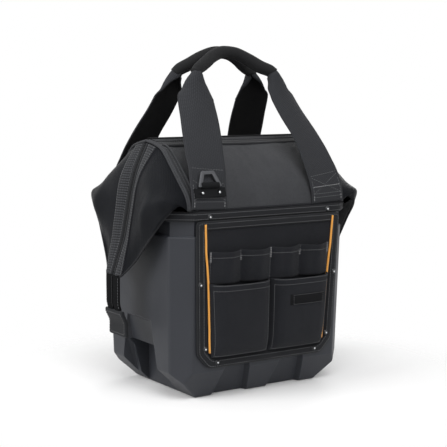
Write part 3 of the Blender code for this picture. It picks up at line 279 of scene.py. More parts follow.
def cloth(name, colour, threads, rough=0.9, sheen=0.25, brick=0.0, spread=(0.72, 1.25), gloss=0.25, weave=0.3):
    """Woven cloth over UVs in metres. Threads are (width, length, relief), and brick shifts each column."""
    across, along, depth = threads
    made, tree, shader = new_material(name, colour, rough, gloss=gloss)
    shader.inputs["Sheen Weight"].default_value = sheen
    shader.inputs["Sheen Roughness"].default_value = 0.5
    op = partial(calc, tree)
    coords = new_node(tree, "TexCoord")
    split = new_node(tree, "SeparateXYZ", {0: coords.outputs["UV"]})
    column = op("DIVIDE", split.outputs["X"], across)
    shift = op("MULTIPLY", op("FLOOR", column), brick)
    row = op("ADD", op("DIVIDE", split.outputs["Y"], along), shift)
    wave_u, wave_v = (op("ABSOLUTE", op("SINE", op("MULTIPLY", line, math.pi))) for line in (column, row))
    if brick:
        height = op("MULTIPLY", op("POWER", wave_v, 0.6), op("POWER", wave_u, 0.25))
    else:
        total = op("ADD", op("FLOOR", column), op("FLOOR", row))
        over = op("PINGPONG", total, 1.0)
        first = op("MULTIPLY", wave_v, over)
        second = op("MULTIPLY", wave_u, op("SUBTRACT", 1.0, over))
        height = op("ADD", first, second)
    wear_and_edge_highlight = noise_node(tree, coords.outputs["Object"], *WEAR)
    mottle = noise_node(tree, coords.outputs["Object"], *MOTTLE)
    rest = (1.0 - weave) / 2
    blend = op("MULTIPLY_ADD", mottle, rest, op("MULTIPLY", wear_and_edge_highlight, rest))
    tint(tree, shader, colour, op("MULTIPLY_ADD", height, weave, blend), spread)
    bump(tree, shader, {"Distance": depth, "Strength": 1.0, "Height": height})
    return made


def plastic(name, colour, rough, grain, depth, metal=0.0, edge=0.0, gloss=0.5, wear_and_edge_highlight=0.0):
    """Moulded or plated finish with a fine grain, slow mottling and softened edges; a factor lightens the edges in
    colour, a painted highlight.
    """
    made, tree, shader = new_material(name, colour, rough, metal, gloss)
    place = new_node(tree, "TexCoord").outputs["Object"]
    level = noise_node(tree, place, *SLOW)
    relief = {"Distance": depth, "Strength": 0.6, "Height": noise_node(tree, place, grain, 2.0)}
    if edge:
        flat = new_node(tree, "NewGeometry").outputs["True Normal"]
        bend = new_node(tree, "VectorMath", {0: bevel_normal(tree, edge, 4), 1: flat}, "DOT_PRODUCT")
        # Lightens the colour where the bevelled normal turns from the flat one, on convex and concave edges: a painted
        # highlight
        painted_edge_highlight = calc(tree, "MINIMUM", calc(tree, "SUBTRACT", 1.0, bend.outputs["Value"]), EDGE_HIGHLIGHT_MOST)
        level = calc(tree, "MULTIPLY_ADD", painted_edge_highlight, wear_and_edge_highlight, level)
        relief["Normal"] = bevel_normal(tree, edge, 6)
    tint(tree, shader, colour, level, (0.85, 1.12))
    uneven = map_range(tree, noise_node(tree, place, *UNEVEN), rough - ROUGH_SPREAD, rough + ROUGH_SPREAD)
    tree.links.new(uneven, shader.inputs["Roughness"])
    bump(tree, shader, relief)
    return made


WOVEN = (0.0011, 0.0011, 0.00030)
TAPE = (0.0030, 0.0008, 0.00016)
FABRIC = cloth("black_fabric", (0.0154, 0.0162, 0.0192), WOVEN, sheen=0.04, spread=(0.45, 1.55), gloss=0.08)
# The roof and wing cloths are one fabric in two copies: the roof's is lighter, painted light, and the wings' is
# darker, painted shade
ROOF_FABRIC_PAINTED_LIGHT = cloth("roof_fabric_painted_light", (0.0380, 0.0392, 0.0430), WOVEN, 0.75, 0.05, spread=(0.20, 1.85), gloss=0.14)
WING_FABRIC_PAINTED_SHADE = cloth("wing_fabric_painted_shade", (0.0064, 0.0070, 0.0088), WOVEN, 0.42, 0.0, spread=(0.35, 1.70), gloss=0.07)
LINING = cloth("lining_fabric", (0.0200, 0.0203, 0.0212), (0.0009, 0.0009, 0.00015), sheen=0.05)
BINDING = cloth("binding_tape", (0.0071, 0.0077, 0.0094), TAPE, sheen=0.06, brick=0.5)
WEBBING = cloth("webbing", (0.0282, 0.0292, 0.0325), (0.0024, 0.0020, 0.00050), sheen=0.05, brick=0.5,
                spread=(0.15, 1.75), gloss=0.06, weave=0.75)
# A darker copy of the webbing for the strap's inner side, painted shade
WEB_INSIDE_PAINTED_SHADE = cloth("webbing_inside_painted_shade", (0.0170, 0.0171, 0.0176), (0.0020, 0.0016, 0.00030), sheen=0.0, brick=0.5,
                   gloss=0.05)
RIBBED = cloth("ribbed_tape", (0.0318, 0.0330, 0.0362), (0.0040, 0.0033, 0.00110), sheen=0.05, brick=0.0001,
               spread=(0.10, 1.50), gloss=0.15, weave=0.9)
# A darker copy of the binding tape for the end tails, painted shade
TAIL_TAPE_PAINTED_SHADE = cloth("tail_tape_painted_shade", (0.0050, 0.0052, 0.0057), TAPE, sheen=0.0, brick=0.5, gloss=0.06)
GOLD = cloth("gold_piping", (0.800, 0.355, 0.060), (0.0010, 0.0012, 0.00015), 0.6, brick=0.5, spread=(0.8, 1.15))
GRIP = cloth("grip_cover", (0.0120, 0.0122, 0.0130), (0.0011, 0.0011, 0.00022), 0.8, 0.02, gloss=0.16)
THREAD = new_material("grey_thread", (0.092, 0.094, 0.099), 0.7)[0]
PALE_THREAD = new_material("pale_thread", (0.33, 0.33, 0.34), 0.7)[0]
# The tub's last factor lightens its edges, a painted highlight along ledges and edges
TUB = plastic("moulded_tub", (0.0244, 0.0263, 0.0318), 0.52, 900.0, 0.00012, edge=0.0012, gloss=0.28, wear_and_edge_highlight=34.0)
BOARD = plastic("floor_board", (0.020, 0.021, 0.023), 0.7, 600.0, 0.0001)
RUBBER = plastic("soft_rubber", (0.0050, 0.0053, 0.0062), 0.70, 800.0, 0.0001, gloss=0.10)
NICKEL = plastic("black_nickel", (0.120, 0.122, 0.128), 0.30, 500.0, 0.00004, 1.0, 0.0004)
RIVET_RIM = plastic("rivet_rim", (0.030, 0.031, 0.033), 0.35, 500.0, 0.00004, 0.6, 0.0004)
# Bright metal for the small domes on rivets, a painted highlight
PAINTED_GLINT = plastic("painted_glint_metal", (0.520, 0.530, 0.545), 0.32, 500.0, 0.00002, 1.0)
RING_BLACK = plastic("ring_black", (0.060, 0.062, 0.068), 0.42, 500.0, 0.00004, 0.4, 0.0004)
ROD_STEEL = plastic("rod_steel", (0.50, 0.51, 0.53), 0.35, 500.0, 0.00004, 1.0)
COIL = plastic("zip_coil", (0.0100, 0.0102, 0.0110), 0.60, 500.0, 0.00002, gloss=0.12)
LABEL = plastic("label_rubber", (0.0070, 0.0072, 0.0080), 0.80, 700.0, 0.00006, gloss=0.08)


# Mesh helpers


def new_object(name, data):
    made = bpy.data.objects.new(name, data)
    scene.collection.objects.link(made)
    return made


def finish_mesh(name, data, material, smooth_shade=True):
    data.materials.append(material)
    for face in data.polygons:
        face.use_smooth = smooth_shade
    return new_object(name, data)


def plain_mesh(name, points, faces, material):
    """A smooth mesh with an empty UV layer."""
    data = bpy.data.meshes.new(name)
    data.from_pydata(points, [], faces)
    data.uv_layers.new(name="UVMap")
    return finish_mesh(name, data, material)


def turn_out(item, index, outward):
    """Flips a mesh if the face at an index looks against a direction."""
    if item.data.polygons[index].normal.dot(outward) < 0:
        item.data.flip_normals()


def grid(name, rows, material, outward=None, loop=False, flip_uv=False):
    """A smooth sheet through rows of points, with UVs in metres."""
    width, height = len(rows[0]), len(rows)
    points = [Vector(p) for row in rows for p in row]

    def gap(r, c, s, d):
        return (points[r * width + c % width] - points[s * width + d % width]).length

    cells = [((r, c), (r, c + 1), (r + 1, c + 1), (r + 1, c))
             for r in range(height - 1) for c in range(width if loop else width - 1)]
    data = bpy.data.meshes.new(name)
    data.from_pydata(points, [], [[r * width + c % width for r, c in cell] for cell in cells])
    us, vs = [], [[0.0] * (width + 1)]
    for r in range(height):
        line = [0.0]
        for c in range(1, width + 1 if loop else width):
            line.append(line[-1] + gap(r, c, r, c - 1))
        us.append(line)
    for r in range(1, height):
        vs.append([vs[-1][c] + gap(r, c, r - 1, c) for c in range(width + 1)])
    layer = data.uv_layers.new(name="UVMap")
    for entry, (r, c) in zip(layer.data, (corner for cell in cells for corner in cell)):
        u, v = us[r][c] - us[r][width // 2], vs[r][c]
        entry.uv = (v, u) if flip_uv else (u, v)
    if outward is not None:
        total = sum((face.normal * face.area for face in data.polygons), Vector())
        if total.dot(Vector(outward)) < 0:
            data.flip_normals()
    return finish_mesh(name, data, material)


def thick(item, depth, offset=-1.0, inside=None):
    tool = item.modifiers.new("thickness", "SOLIDIFY")
    if inside is not None:
        item.data.materials.append(inside)
        tool.material_offset = 1
    tool.thickness = depth
    tool.offset = offset
    tool.thickness_clamp = 1.0
    return item


def apply_all(item):
    """Turns an object with modifiers into its plain result."""
    bpy.context.view_layer.update()
    data = bpy.data.meshes.new_from_object(item.evaluated_get(bpy.context.evaluated_depsgraph_get()))
    item.modifiers.clear()
    item.data = data
    return item


def joined(name, items):
    """One object from several, each kept with its own material."""
    work = bmesh.new()
    work.loops.layers.uv.new("UVMap")
    slots, data = [], bpy.data.meshes.new(name)
    for item in items:
        if item.modifiers:
            apply_all(item)
        base = len(work.faces)
        work.from_mesh(item.data)
        work.faces.ensure_lookup_table()
        slots += [material for material in item.data.materials if material not in slots]
        local = [slots.index(material) for material in item.data.materials]
        for face in work.faces[base:]:
            face.material_index = local[min(face.material_index, len(local) - 1)]
    work.to_mesh(data)
    work.free()
    for material in slots:
        data.materials.append(material)
    for item in items:
        bpy.data.objects.remove(item)
    return new_object(name, data)


def close_ends(item, sides, smooth_shade):
    """Caps the first and last ring of a tube's mesh."""
    work = bmesh.new()
    work.from_mesh(item.data)
    work.verts.ensure_lookup_table()
    last = len(work.verts) - sides
    work.faces.new([work.verts[k] for k in reversed(range(sides))]).smooth = smooth_shade
    work.faces.new([work.verts[last + k] for k in range(sides)]).smooth = smooth_shade
    bmesh.ops.recalc_face_normals(work, faces=work.faces)
    work.to_mesh(item.data)
    work.free()


def tube(name, points, radius, material, sides=8):
    """A round cord along points; radius may be one value or one for each point."""
    spots = [Vector(p) for p in points]
    radii = radius if isinstance(radius, list) else [radius] * len(spots)
    rows, side = [], Vector((0.13, 0.31, 0.94))
    for i, spot in enumerate(spots):
        side = square(side, heading(spots, i))
        other = heading(spots, i).cross(side)
        rows.append([spot + side * (radii[i] * math.cos(a)) + other * (radii[i] * math.sin(a))
                     for a in (math.tau * k / sides for k in range(sides))])
    made = grid(name, rows, material, loop=True)
    turn_out(made, 0, made.data.polygons[0].center - spots[0])
    close_ends(made, sides, True)
    return made


# A stitch along its length (place, rise, width) and across it (place, height), in halves of its size
STITCH_ALONG = ((-1.0, -0.3, 0.5), (-0.72, 0.75, 1.0), (0.72, 0.75, 1.0), (1.0, -0.3, 0.5))
STITCH_ACROSS = ((-1.0, -0.6), (0.0, 1.0), (1.0, -0.6))


def stitches(lines, material=THREAD, pitch=0.0034, length=0.0024, radius=0.00032):
    """Rows of short raised stitches; every line is a list of (point, outward) pairs."""
    points, faces = [], []
    for line in lines:
        spots = [Vector(p) for p, n in line]
        normals = [Vector(n).normalized() for p, n in line]
        lengths = run(spots)
        count = max(int(lengths[-1] / pitch), 1)
        half = min(length, lengths[-1] / count * 0.8) / 2
        for k in range(count):
            i, t = locate(lengths, (k + 0.5) * lengths[-1] / count)
            along = (spots[i + 1] - spots[i]).normalized()
            up = normals[i].lerp(normals[i + 1], t).normalized()
            centre = spots[i].lerp(spots[i + 1], t)
            across = along.cross(up).normalized()
            start = len(points)
            for shift, rise, wide in STITCH_ALONG:
                for a, h in STITCH_ACROSS:
                    lift = radius * (rise * (h > 0) + 0.25 * h)
                    points.append(centre + along * (half * shift) + across * (a * radius * wide) + up * lift)
            for c in (start + s * 3 + a for s in range(3) for a in range(2)):
                faces.append((c, c + 1, c + 4, c + 3))
    return plain_mesh("stitches", points, faces, material)


def node_box(name):
    """A CAD node's points, and the lowest and highest corner of their box."""
    points = [v.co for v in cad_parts[name].data.vertices]
    low, high = (Vector([end(p[k] for p in points) for k in range(3)]) for end in (min, max))
    return points, low, high


def show(item, body, material_slot, *nodes):
    """A finished piece that rides a body and stands for CAD nodes."""
    if body:
        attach(item, body)
    if nodes:
        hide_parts(*nodes)
    return item


# Finishes of the CAD pieces that stay in view

FINISHES = {
    "base_shell": TUB, "floor_board": BOARD, "zip_slider": NICKEL, "zip_pull": NICKEL,
    "_rivet": RIVET_RIM, "_ring_tab": RUBBER, "_mouth_frame": ROD_STEEL,
}
for node_name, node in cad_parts.items():
    for ending, finish in FINISHES.items():
        if node_name.endswith(ending):
            node.data.materials.clear()
            node.data.materials.append(finish)


# The wall planes, which lean outward


def face_at(side, x, out, up):
    """A point on the front (-1) or back (1) wall: across, proud of it, and up along it."""
    y = WALL_Y + out * math.cos(SIDE_DRAFT) + up * math.sin(SIDE_DRAFT)
    return Vector((x, side * y, up * math.cos(SIDE_DRAFT) - out * math.sin(SIDE_DRAFT)))


def face_out(side):
    return Vector((0.0, side * math.cos(SIDE_DRAFT), -math.sin(SIDE_DRAFT)))


def wall_stitches(side, lines, *kind):
    """Stitches along lines of places on a wall (across, out, up)."""
    return stitches([[(face_at(side, *spot), face_out(side)) for spot in line] for line in lines], *kind)


def fine_ring(ring, fewest=1):
    """A closed ring with its sides shared evenly into short steps."""
    made = []
    for a, b in zip(ring, ring[1:] + ring[:1]):
        count = max(fewest, int((b - a).length / RING_STEP))
        made += [a.lerp(b, k / count) for k in range(count)]
    return made


def octagon(grow, z):
    """The tub outline at one height, moved outward."""
    drop = LEDGE_Z - z
    x = SHELL_X - drop * math.tan(END_DRAFT) + grow
    y = SHELL_Y - drop * math.tan(SIDE_DRAFT) + grow
    total = SHELL_X + SHELL_Y - CORNER + (grow - drop * math.tan(CORNER_DRAFT)) * math.sqrt(2)
    quarter = [(x, total - x), (total - y, y)]
    half = quarter + [(-a, b) for a, b in reversed(quarter)]
    return fine_ring([Vector((a, b, z)) for a, b in half + [(-a, -b) for a, b in half]], fewest=2)


def same_count(rings):
    """Resamples closed rings to one number of points, starting at the same corner."""
    count = max(len(ring) for ring in rings)
    return [[along_path(ring + ring[:1], k / count) for k in range(count)] for ring in rings]


def painted_glint_dome(spot, normal, radius):
    """A small bright dome on an outer face, a painted highlight for the glint on a dark rivet."""
    turn = normal.to_track_quat("Z", "Y").to_matrix().to_4x4()
    data = bpy.data.meshes.new("painted_glint_dome")
    work = bmesh.new()
    bmesh.ops.create_uvsphere(work, u_segments=16, v_segments=10, radius=radius)
    work.to_mesh(data)
    work.free()
    data.uv_layers.new(name="UVMap")
    data.transform(Matrix.Translation(spot) @ turn @ Matrix.Diagonal((1, 1, 0.6, 1)))
    return finish_mesh("painted_glint_dome", data, PAINTED_GLINT)


# Size and sinking of the rivet domes that paint a highlight
GLINT_DOME_RADIUS, GLINT_DOME_SINK = 0.0013, 0.0002

# Every rivet gets a bright dome, a painted highlight on its dark crown
glint_domes = []
for node_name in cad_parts:
    if node_name.endswith("_rivet"):
        points, low, high = node_box(node_name)
        out = face_out(-1 if node_name.startswith("front") else 1)
        middle = (low + high) / 2
        reach = max((p - middle).dot(out) for p in points)
        glint_domes.append(painted_glint_dome(middle + out * (reach - GLINT_DOME_SINK), out, GLINT_DOME_RADIUS))
show(joined("rivet_painted_glints", glint_domes), "shell", "dark_metal")

# Rim band: webbing folded over the collar, with two rows of stitches

BAND = [
    (-0.0026, 0.2290), (0.0004, 0.2284), (0.0020, 0.2292), (0.0027, 0.2310), (0.0028, 0.2340), (0.0026, 0.2368),
    (0.0019, 0.2388), (0.0004, 0.2399), (-0.0020, 0.2404), (-0.0044, 0.2398), (-0.0062, 0.2380), (-0.0068, 0.2350),
]
BAND_STITCHES = ((0.0029, 0.2309), (0.0027, 0.2372))


def band_spot(p):
    """A point of the band's outline, made slightly uneven."""
    out = Vector((p.x, p.y, 0)).normalized()
    return p + out * 0.0003 * wobble(p, 45) + Vector((0, 0, 0.0005 * wobble(p, 30, 3)))


rings = [[band_spot(p) for p in ring] for ring in same_count([octagon(grow, z) for grow, z in BAND])]
band = grid("rim_band_cloth", rings, BINDING, loop=True)
middle = len(band.data.polygons) // 2
turn_out(band, middle, band.data.polygons[middle].center * Vector((1, 1, 0)))
lines = [[(p, Vector((p.x, p.y * 1.6, 0))) for p in ring + ring[:1]]
         for ring in (octagon(grow, z) for grow, z in BAND_STITCHES)]
band = joined("rim_band_soft", [band, stitches(lines)])
show(band, "shell", "webbing", "rim_band")

# Lining inside the tub, slack between its foot and its top

LINING_SLACK = 0.0012
LINING_FOOT, LINING_TOP = 0.012, 0.222

lining_data = bpy.data.meshes.new("lining")
work = bmesh.new()
work.from_mesh(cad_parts["inner_liner"].data)
bmesh.ops.remove_doubles(work, verts=work.verts, dist=0.00005)
bmesh.ops.dissolve_limit(work, angle_limit=0.02, verts=work.verts, edges=work.edges)
bmesh.ops.triangulate(work, faces=work.faces)
for _ in range(3):
    bmesh.ops.subdivide_edges(work, edges=[edge for edge in work.edges if edge.calc_length() > 0.02], cuts=1)
    bmesh.ops.triangulate(work, faces=work.faces)
for vert in work.verts:
    lean = Vector((-vert.co.x, -vert.co.y, 0)).normalized()
    if LINING_FOOT < vert.co.z < LINING_TOP:
        vert.co += lean * LINING_SLACK * (0.5 + 0.5 * wobble(vert.co, 28))
layer = work.loops.layers.uv.new("UVMap")
for face in work.faces:
    flat = max(range(3), key=lambda k: abs(face.normal[k]))
    for loop in face.loops:
        co = loop.vert.co
        loop[layer].uv = [(co.y, co.z), (co.x, co.z), (co.x, co.y)][flat]
work.to_mesh(lining_data)
work.free()
show(finish_mesh("lining", lining_data, LINING, False), "shell", "woven_fabric", "inner_liner")

# Pocket faces, with heights measured up the wall

PANEL = [(0.0880, 0.0420), (0.1045, 0.0600), (0.1100, 0.2283)]
PANEL_FOOT, PANEL_TOP, PANEL_OUT = 0.0425, 0.2278, 0.0028
BINDING_SECTION = [
    (0.0, 0.0004), (-0.0006, 0.0030), (0.0003, 0.0045), (0.0020, 0.0050), (0.0088, 0.0049), (0.0102, 0.0044),
    (0.0108, 0.0030),
]
PIPING_LINE = [(0.0985, 0.2250), (0.0965, 0.1900), (0.0928, 0.1540), (0.0900, 0.1080), (0.0878, 0.0620)]
SLEEVE_STOPS = (-0.0905, -0.0455, 0.0, 0.0455, 0.0905)
SLEEVE_FOOT, SLEEVE_TOP, SLEEVE_HALF = 0.1500, 0.1908, 0.0925
POCKET_FOOT, POCKET_TALL, POCKET_DEEP = 0.0550, 0.0955, 0.0172
POCKET_ACROSS = [(0.0, 0.0), (0.03, 0.34), (0.08, 0.68), (0.17, 0.90), (0.32, 0.985), (0.5, 1.0)]
POCKET_UP = [(0.0, 0.0), (0.03, 0.36), (0.09, 0.72), (0.20, 0.93), (0.40, 1.0), (0.66, 0.97), (0.90, 0.90)]
BINDING_ROUND, BINDING_FACE, BINDING_SEWN = 0.004, 0.0050, (0.0022, 0.0086)
# How far the cloth of each piece lies off the wall where it is sewn down
SLEEVE_SEAT, POCKET_SEAT, PIPING_SEAT = 0.0044, 0.0051, 0.0047
SLEEVE_DEEP, SLEEVE_HEM, SLEEVE_TACKS, SLEEVE_SEAMS = 0.0096, 0.1835, (0.1772, 0.1904), (0.1510, 0.1775)
POCKET_MIDDLE, POCKET_HALF, POCKET_WIDEN = 0.0435, 0.0425, 0.0030
POCKET_ROWS, POCKET_HEM, POCKET_SEWN = (0.0553, 0.1505), 0.1405, (0.1422, 0.1488)
POCKET_INSET, POCKET_LOW, POCKET_HIGH = 0.035, 0.0575, 0.1420
PIPING_RADIUS = 0.00145
BAR_TACK = (0.0019, 0.0013, 0.00045)


def binding_ring(shrink):
    """The panel's closed outline with rounded corners, moved inward."""
    right = [Vector(p) for p in PANEL]
    ring = right + [Vector((-x, z)) for x, z in reversed(PANEL)]
    moved, made = [], []
    for i, p in enumerate(ring):
        before = (p - ring[i - 1]).normalized()
        after = (ring[(i + 1) % len(ring)] - p).normalized()
        n1, n2 = Vector((-before.y, before.x)), Vector((-after.y, after.x))
        half = (n1 + n2).normalized()
        moved.append(p + half * (shrink / max(half.dot(n1), 0.3)))
    for i, p in enumerate(moved):
        a, b = ((q - p).normalized() * BINDING_ROUND for q in (moved[i - 1], moved[(i + 1) % len(moved)]))
        made += [p + a * (1 - t) ** 2 + b * t ** 2 for t in steps(4)]
    return fine_ring(made)


def panel_piece(side):
    """Backing cloth and the folded binding that frames it, stitched on both of its edges."""
    out = face_out(side)
    rows = []
    for z in steps(40, PANEL_FOOT, PANEL_TOP):
        half = table_at([(up, x) for x, up in PANEL], z) - 0.002
        rows.append([face_at(side, x, PANEL_OUT + 0.0004 * wobble((x, side, z), 40), z)
                     for x in steps(28, -half, half)])
    field = thick(grid("panel_field", rows, FABRIC, out), PANEL_THICK)
    loops = same_count([[Vector((p.x, rise, p.y)) for p in binding_ring(shrink)] for shrink, rise in BINDING_SECTION])
    loops = [[face_at(side, p.x, p.y + 0.00025 * wobble(p, 60, side), p.z) for p in ring] for ring in loops]
    border = grid("panel_binding", loops, BINDING, loop=True)
    turn_out(border, len(loops[0]) * 3 + 5, out)
    lines = [[(p.x, BINDING_FACE, p.y) for p in ring + ring[:1]] for ring in map(binding_ring, BINDING_SEWN)]
    return [field, border, wall_stitches(side, lines)]


def sleeve_out(x, z, tall):
    """How far the sleeve ribbon stands off the panel at a place across it."""
    i = min(sum(x > stop for stop in SLEEVE_STOPS[1:]), 3)
    left, right = SLEEVE_STOPS[i:i + 2]
    t = clamp((x - left) / (right - left))
    high = SLEEVE_DEEP + 0.0012 * bell(t, 0.60, 0.13) - 0.0009 * bell(t, 0.36, 0.10)
    return arch(t) ** 0.62 * (high * tall + 0.0006 * wobble((x, z, left), 55))


def sleeve_piece(side):
    """Four tool sleeves in one ribbon, sewn down between them and along their hem."""
    pitch = SLEEVE_STOPS[-1] / 2
    rows = []
    for z in steps(16, SLEEVE_FOOT, SLEEVE_TOP):
        tall = 0.93 + 0.07 * smooth((z - SLEEVE_FOOT) / 0.03)
        hem = 0.0006 if z > SLEEVE_HEM else 0.0
        dip = 0.0011 if len(rows) == 16 else 0.0
        row = []
        for x in steps(96, -SLEEVE_HALF, SLEEVE_HALF):
            rise = sleeve_out(x, z, tall) * (1 - clamp((abs(x) - SLEEVE_STOPS[-1]) / 0.002))
            dipped = z - dip * arch((x + SLEEVE_STOPS[-1]) / pitch % 1.0)
            row.append(face_at(side, x, SLEEVE_SEAT + rise + hem, dipped))
        rows.append(row)
    ribbon = thick(grid("sleeve_ribbon", rows, FABRIC, face_out(side)), SLEEVE_THICK)
    edge = [(x, 0.0053 + sleeve_out(x, 0.183, 1.0), 0.1832) for x in steps(96, -0.0920, 0.0920)]
    tacks = [[(x + shift, 0.0062, z) for z in SLEEVE_TACKS] for x in SLEEVE_STOPS for shift in (-0.0007, 0.0007)]
    seams = [[(x, 0.0052, z) for z in SLEEVE_SEAMS] for x in SLEEVE_STOPS]
    return [ribbon, wall_stitches(side, [edge]), wall_stitches(side, tacks, PALE_THREAD, *BAR_TACK),
            wall_stitches(side, seams)]


def pocket_span(z):
    """Middle and half width of a lower pocket, which widens upward."""
    grow = POCKET_WIDEN * (z - POCKET_FOOT) / POCKET_TALL
    return POCKET_MIDDLE + grow, POCKET_HALF + grow


def pocket_place(side, way, across, z, lift):
    """A point on a puffed lower pocket, across it from 0 to 1, lifted off its cloth."""
    centre, half = pocket_span(z)
    soft = table_at(POCKET_ACROSS, min(across, 1.0 - across)) * table_at(POCKET_UP, (z - POCKET_FOOT) / POCKET_TALL)
    x = way * centre + half * (across * 2 - 1.0)
    rise = soft * (POCKET_DEEP + 0.0007 * wobble((x, side, z), 26, 5) + 0.0003 * wobble((x, side, z), 70, 9))
    return face_at(side, x, POCKET_SEAT + rise + lift, z)


def pocket_piece(side, way):
    """One lower pocket with its folded hem, side seams and stitches."""
    out = face_out(side)
    rows = []
    for z in steps(30, *POCKET_ROWS):
        hem = 0.0008 * smooth((z - POCKET_HEM) / 0.002)
        dip = 0.0012 if len(rows) == 30 else 0.0
        rows.append([pocket_place(side, way, t, z, hem) - Vector((0, 0, dip * arch(t)))
                     for t in (0.5 - 0.5 * math.cos(math.pi * c / 36) for c in range(37))])
    cup = thick(grid("pocket_cup", rows, FABRIC, out), POCKET_THICK)
    lines = [[(pocket_place(side, way, t / 36, z, 0.0009), out) for t in range(1, 36)] for z in POCKET_SEWN]
    edge = [(POCKET_INSET, z) for z in steps(20, POCKET_HIGH, POCKET_LOW)]
    edge += [(t, POCKET_LOW) for t in steps(20, POCKET_INSET, 1 - POCKET_INSET)[1:]]
    edge += [(1 - POCKET_INSET, z) for z in steps(20, POCKET_LOW, POCKET_HIGH)[1:]]
    lines.append([(pocket_place(side, way, t, z, 0.0004), out) for t, z in edge])
    return [cup, stitches(lines)]


def piping_piece(side, way):
    line = spline([face_at(side, way * x, PIPING_SEAT, z) for x, z in PIPING_LINE], 60)
    line = [p + Vector((0.00035 * wobble(p, 60, 11), 0, 0)) for p in line]
    return tube("piping_cord", line, PIPING_RADIUS, GOLD, 10)


for side, face_name in SIDES:
    show(joined(face_name + "_panel_soft", panel_piece(side)), "shell", "woven_fabric", face_name + "_pocket_panel")
    show(joined(face_name + "_sleeves_soft", sleeve_piece(side)), "shell", "woven_fabric", face_name + "_tool_sleeves")
    for way, hand in HANDS:
        name = f"{face_name}_{hand}"
        show(joined(name + "_pocket_soft", pocket_piece(side, way)), "shell", "woven_fabric", name + "_pocket")
        show(piping_piece(side, way), "shell", "piping", name + "_piping").name = name + "_piping_soft"

# The bare label on the right lower pocket of the front

LABEL_LEFT, LABEL_RIGHT = 0.0228, 0.0798
LABEL_HEIGHTS = (0.1152, 0.1160, 0.1220, 0.1280, 0.1288)
LABEL_STITCH = (0.0026, 0.0018, 0.00022)
LABEL_LOW, LABEL_RISE = 0.0002, 0.0010

rows = []
for z in LABEL_HEIGHTS:
    centre, half = pocket_span(z)
    lift = LABEL_LOW if z in (LABEL_HEIGHTS[0], LABEL_HEIGHTS[-1]) else LABEL_RISE
    lifts = [LABEL_LOW] + [lift] * 11 + [LABEL_LOW]
    rows.append([pocket_place(-1, 1, (x - centre + half) / (2 * half), z, lift)
                 for x, lift in zip(steps(12, LABEL_LEFT, LABEL_RIGHT), lifts)])
tag = grid("label_patch", rows, LABEL, face_out(-1))
border = rows[1][1:12] + rows[3][11:0:-1] + rows[1][1:2]
line = [(p + Vector((0, -0.0002, 0)), face_out(-1)) for p in border]
tag = joined("label_soft", [tag, stitches([line], THREAD, *LABEL_STITCH)])
show(tag, "shell", "soft_rubber", "front_label")

# Roof of each mouth half

MID, END = (spline([(0, d, h) for d, h in shape], 33) for shape in (ROOF_MID, ROOF_END))
HEM = ((0.805, 0.0002), (0.815, 0.0014), (0.85, 0.0017), (0.90, 0.0017), (0.96, 0.0016), (0.995, 0.0012))
RIDGE_TAPE = ((0.905, 0.0019), (0.915, 0.0029), (0.96, 0.0030), (0.988, 0.0030))
TOOTH = ((-0.0006, 0.0), (-0.0005, 0.0011), (0.0016, 0.0013), (0.0021, 0.0006), (0.0016, -0.0001))
TOOTH_PITCH = 0.0022
# Half lengths of the ridge's hem and tape, and of the stitches beside the end seams
HEM_HALF, RIDGE_HALF, SEWN_HALF = 0.1165, 0.1150, 0.1120
END_SEAMS = ((0.1166, 0.0021), (0.1075, 0.0014))
TOOTH_HALF = 0.34
TEETH_HALF, TEETH_AT, TEETH_OUT = 0.1145, 0.984, 0.0034
ROD_CLOTH = 0.0011
HINGE_HALF, HINGE_FOOT, HINGE_TOP = 0.1110, 0.2350, 0.2495
HINGE_Y, HINGE_RUN, HINGE_IN = 0.0968, 0.0880, -0.0026


def roof_skin(x, t, side, out):
    """A point on the roof, x across and t from the rim (0) to the ridge (1), moved outward."""
    blend = 1.0 - clamp(abs(x) / ROOF_HALF) ** 4
    at = clamp(t) * 32
    i = min(int(at), 31)

    def profile(k):
        k = min(max(k, 0), 32)
        d, h = (END[k][n] + (MID[k][n] - END[k][n]) * blend for n in (1, 2))
        return Vector((d * ROOF_SPAN, ROOF_FOOT + h * (ROOF_TOP - ROOF_FOOT)))

    here = profile(i).lerp(profile(i + 1), at - i)
    along = (profile(i + 2) - profile(i - 1)).normalized()
    here = here + Vector((along.y, -along.x)) * out
    return Vector((x, side * here.x, here.y))


def roof_line(half, count, t, side, out=0.0):
    return [roof_skin(x, t, side, out) for x in steps(count, -half, half)]


def roof_wave(x, t, side):
    """Slack and puckers of the heavy cloth, dying out at its seams."""
    hold = arch(t) ** 0.5 * (1 - (abs(x) / ROOF_HALF) ** 6)
    slow = 0.0022 * wobble((x * 0.8, side * 3.0, t * 0.09), 22, 2)
    pull = 0.0009 * wobble((x * 2.2, side * 2.0, t * 0.05), 60, 8)
    return hold * (slow + pull - 0.0012 * bell(t, 0.42, 0.2))


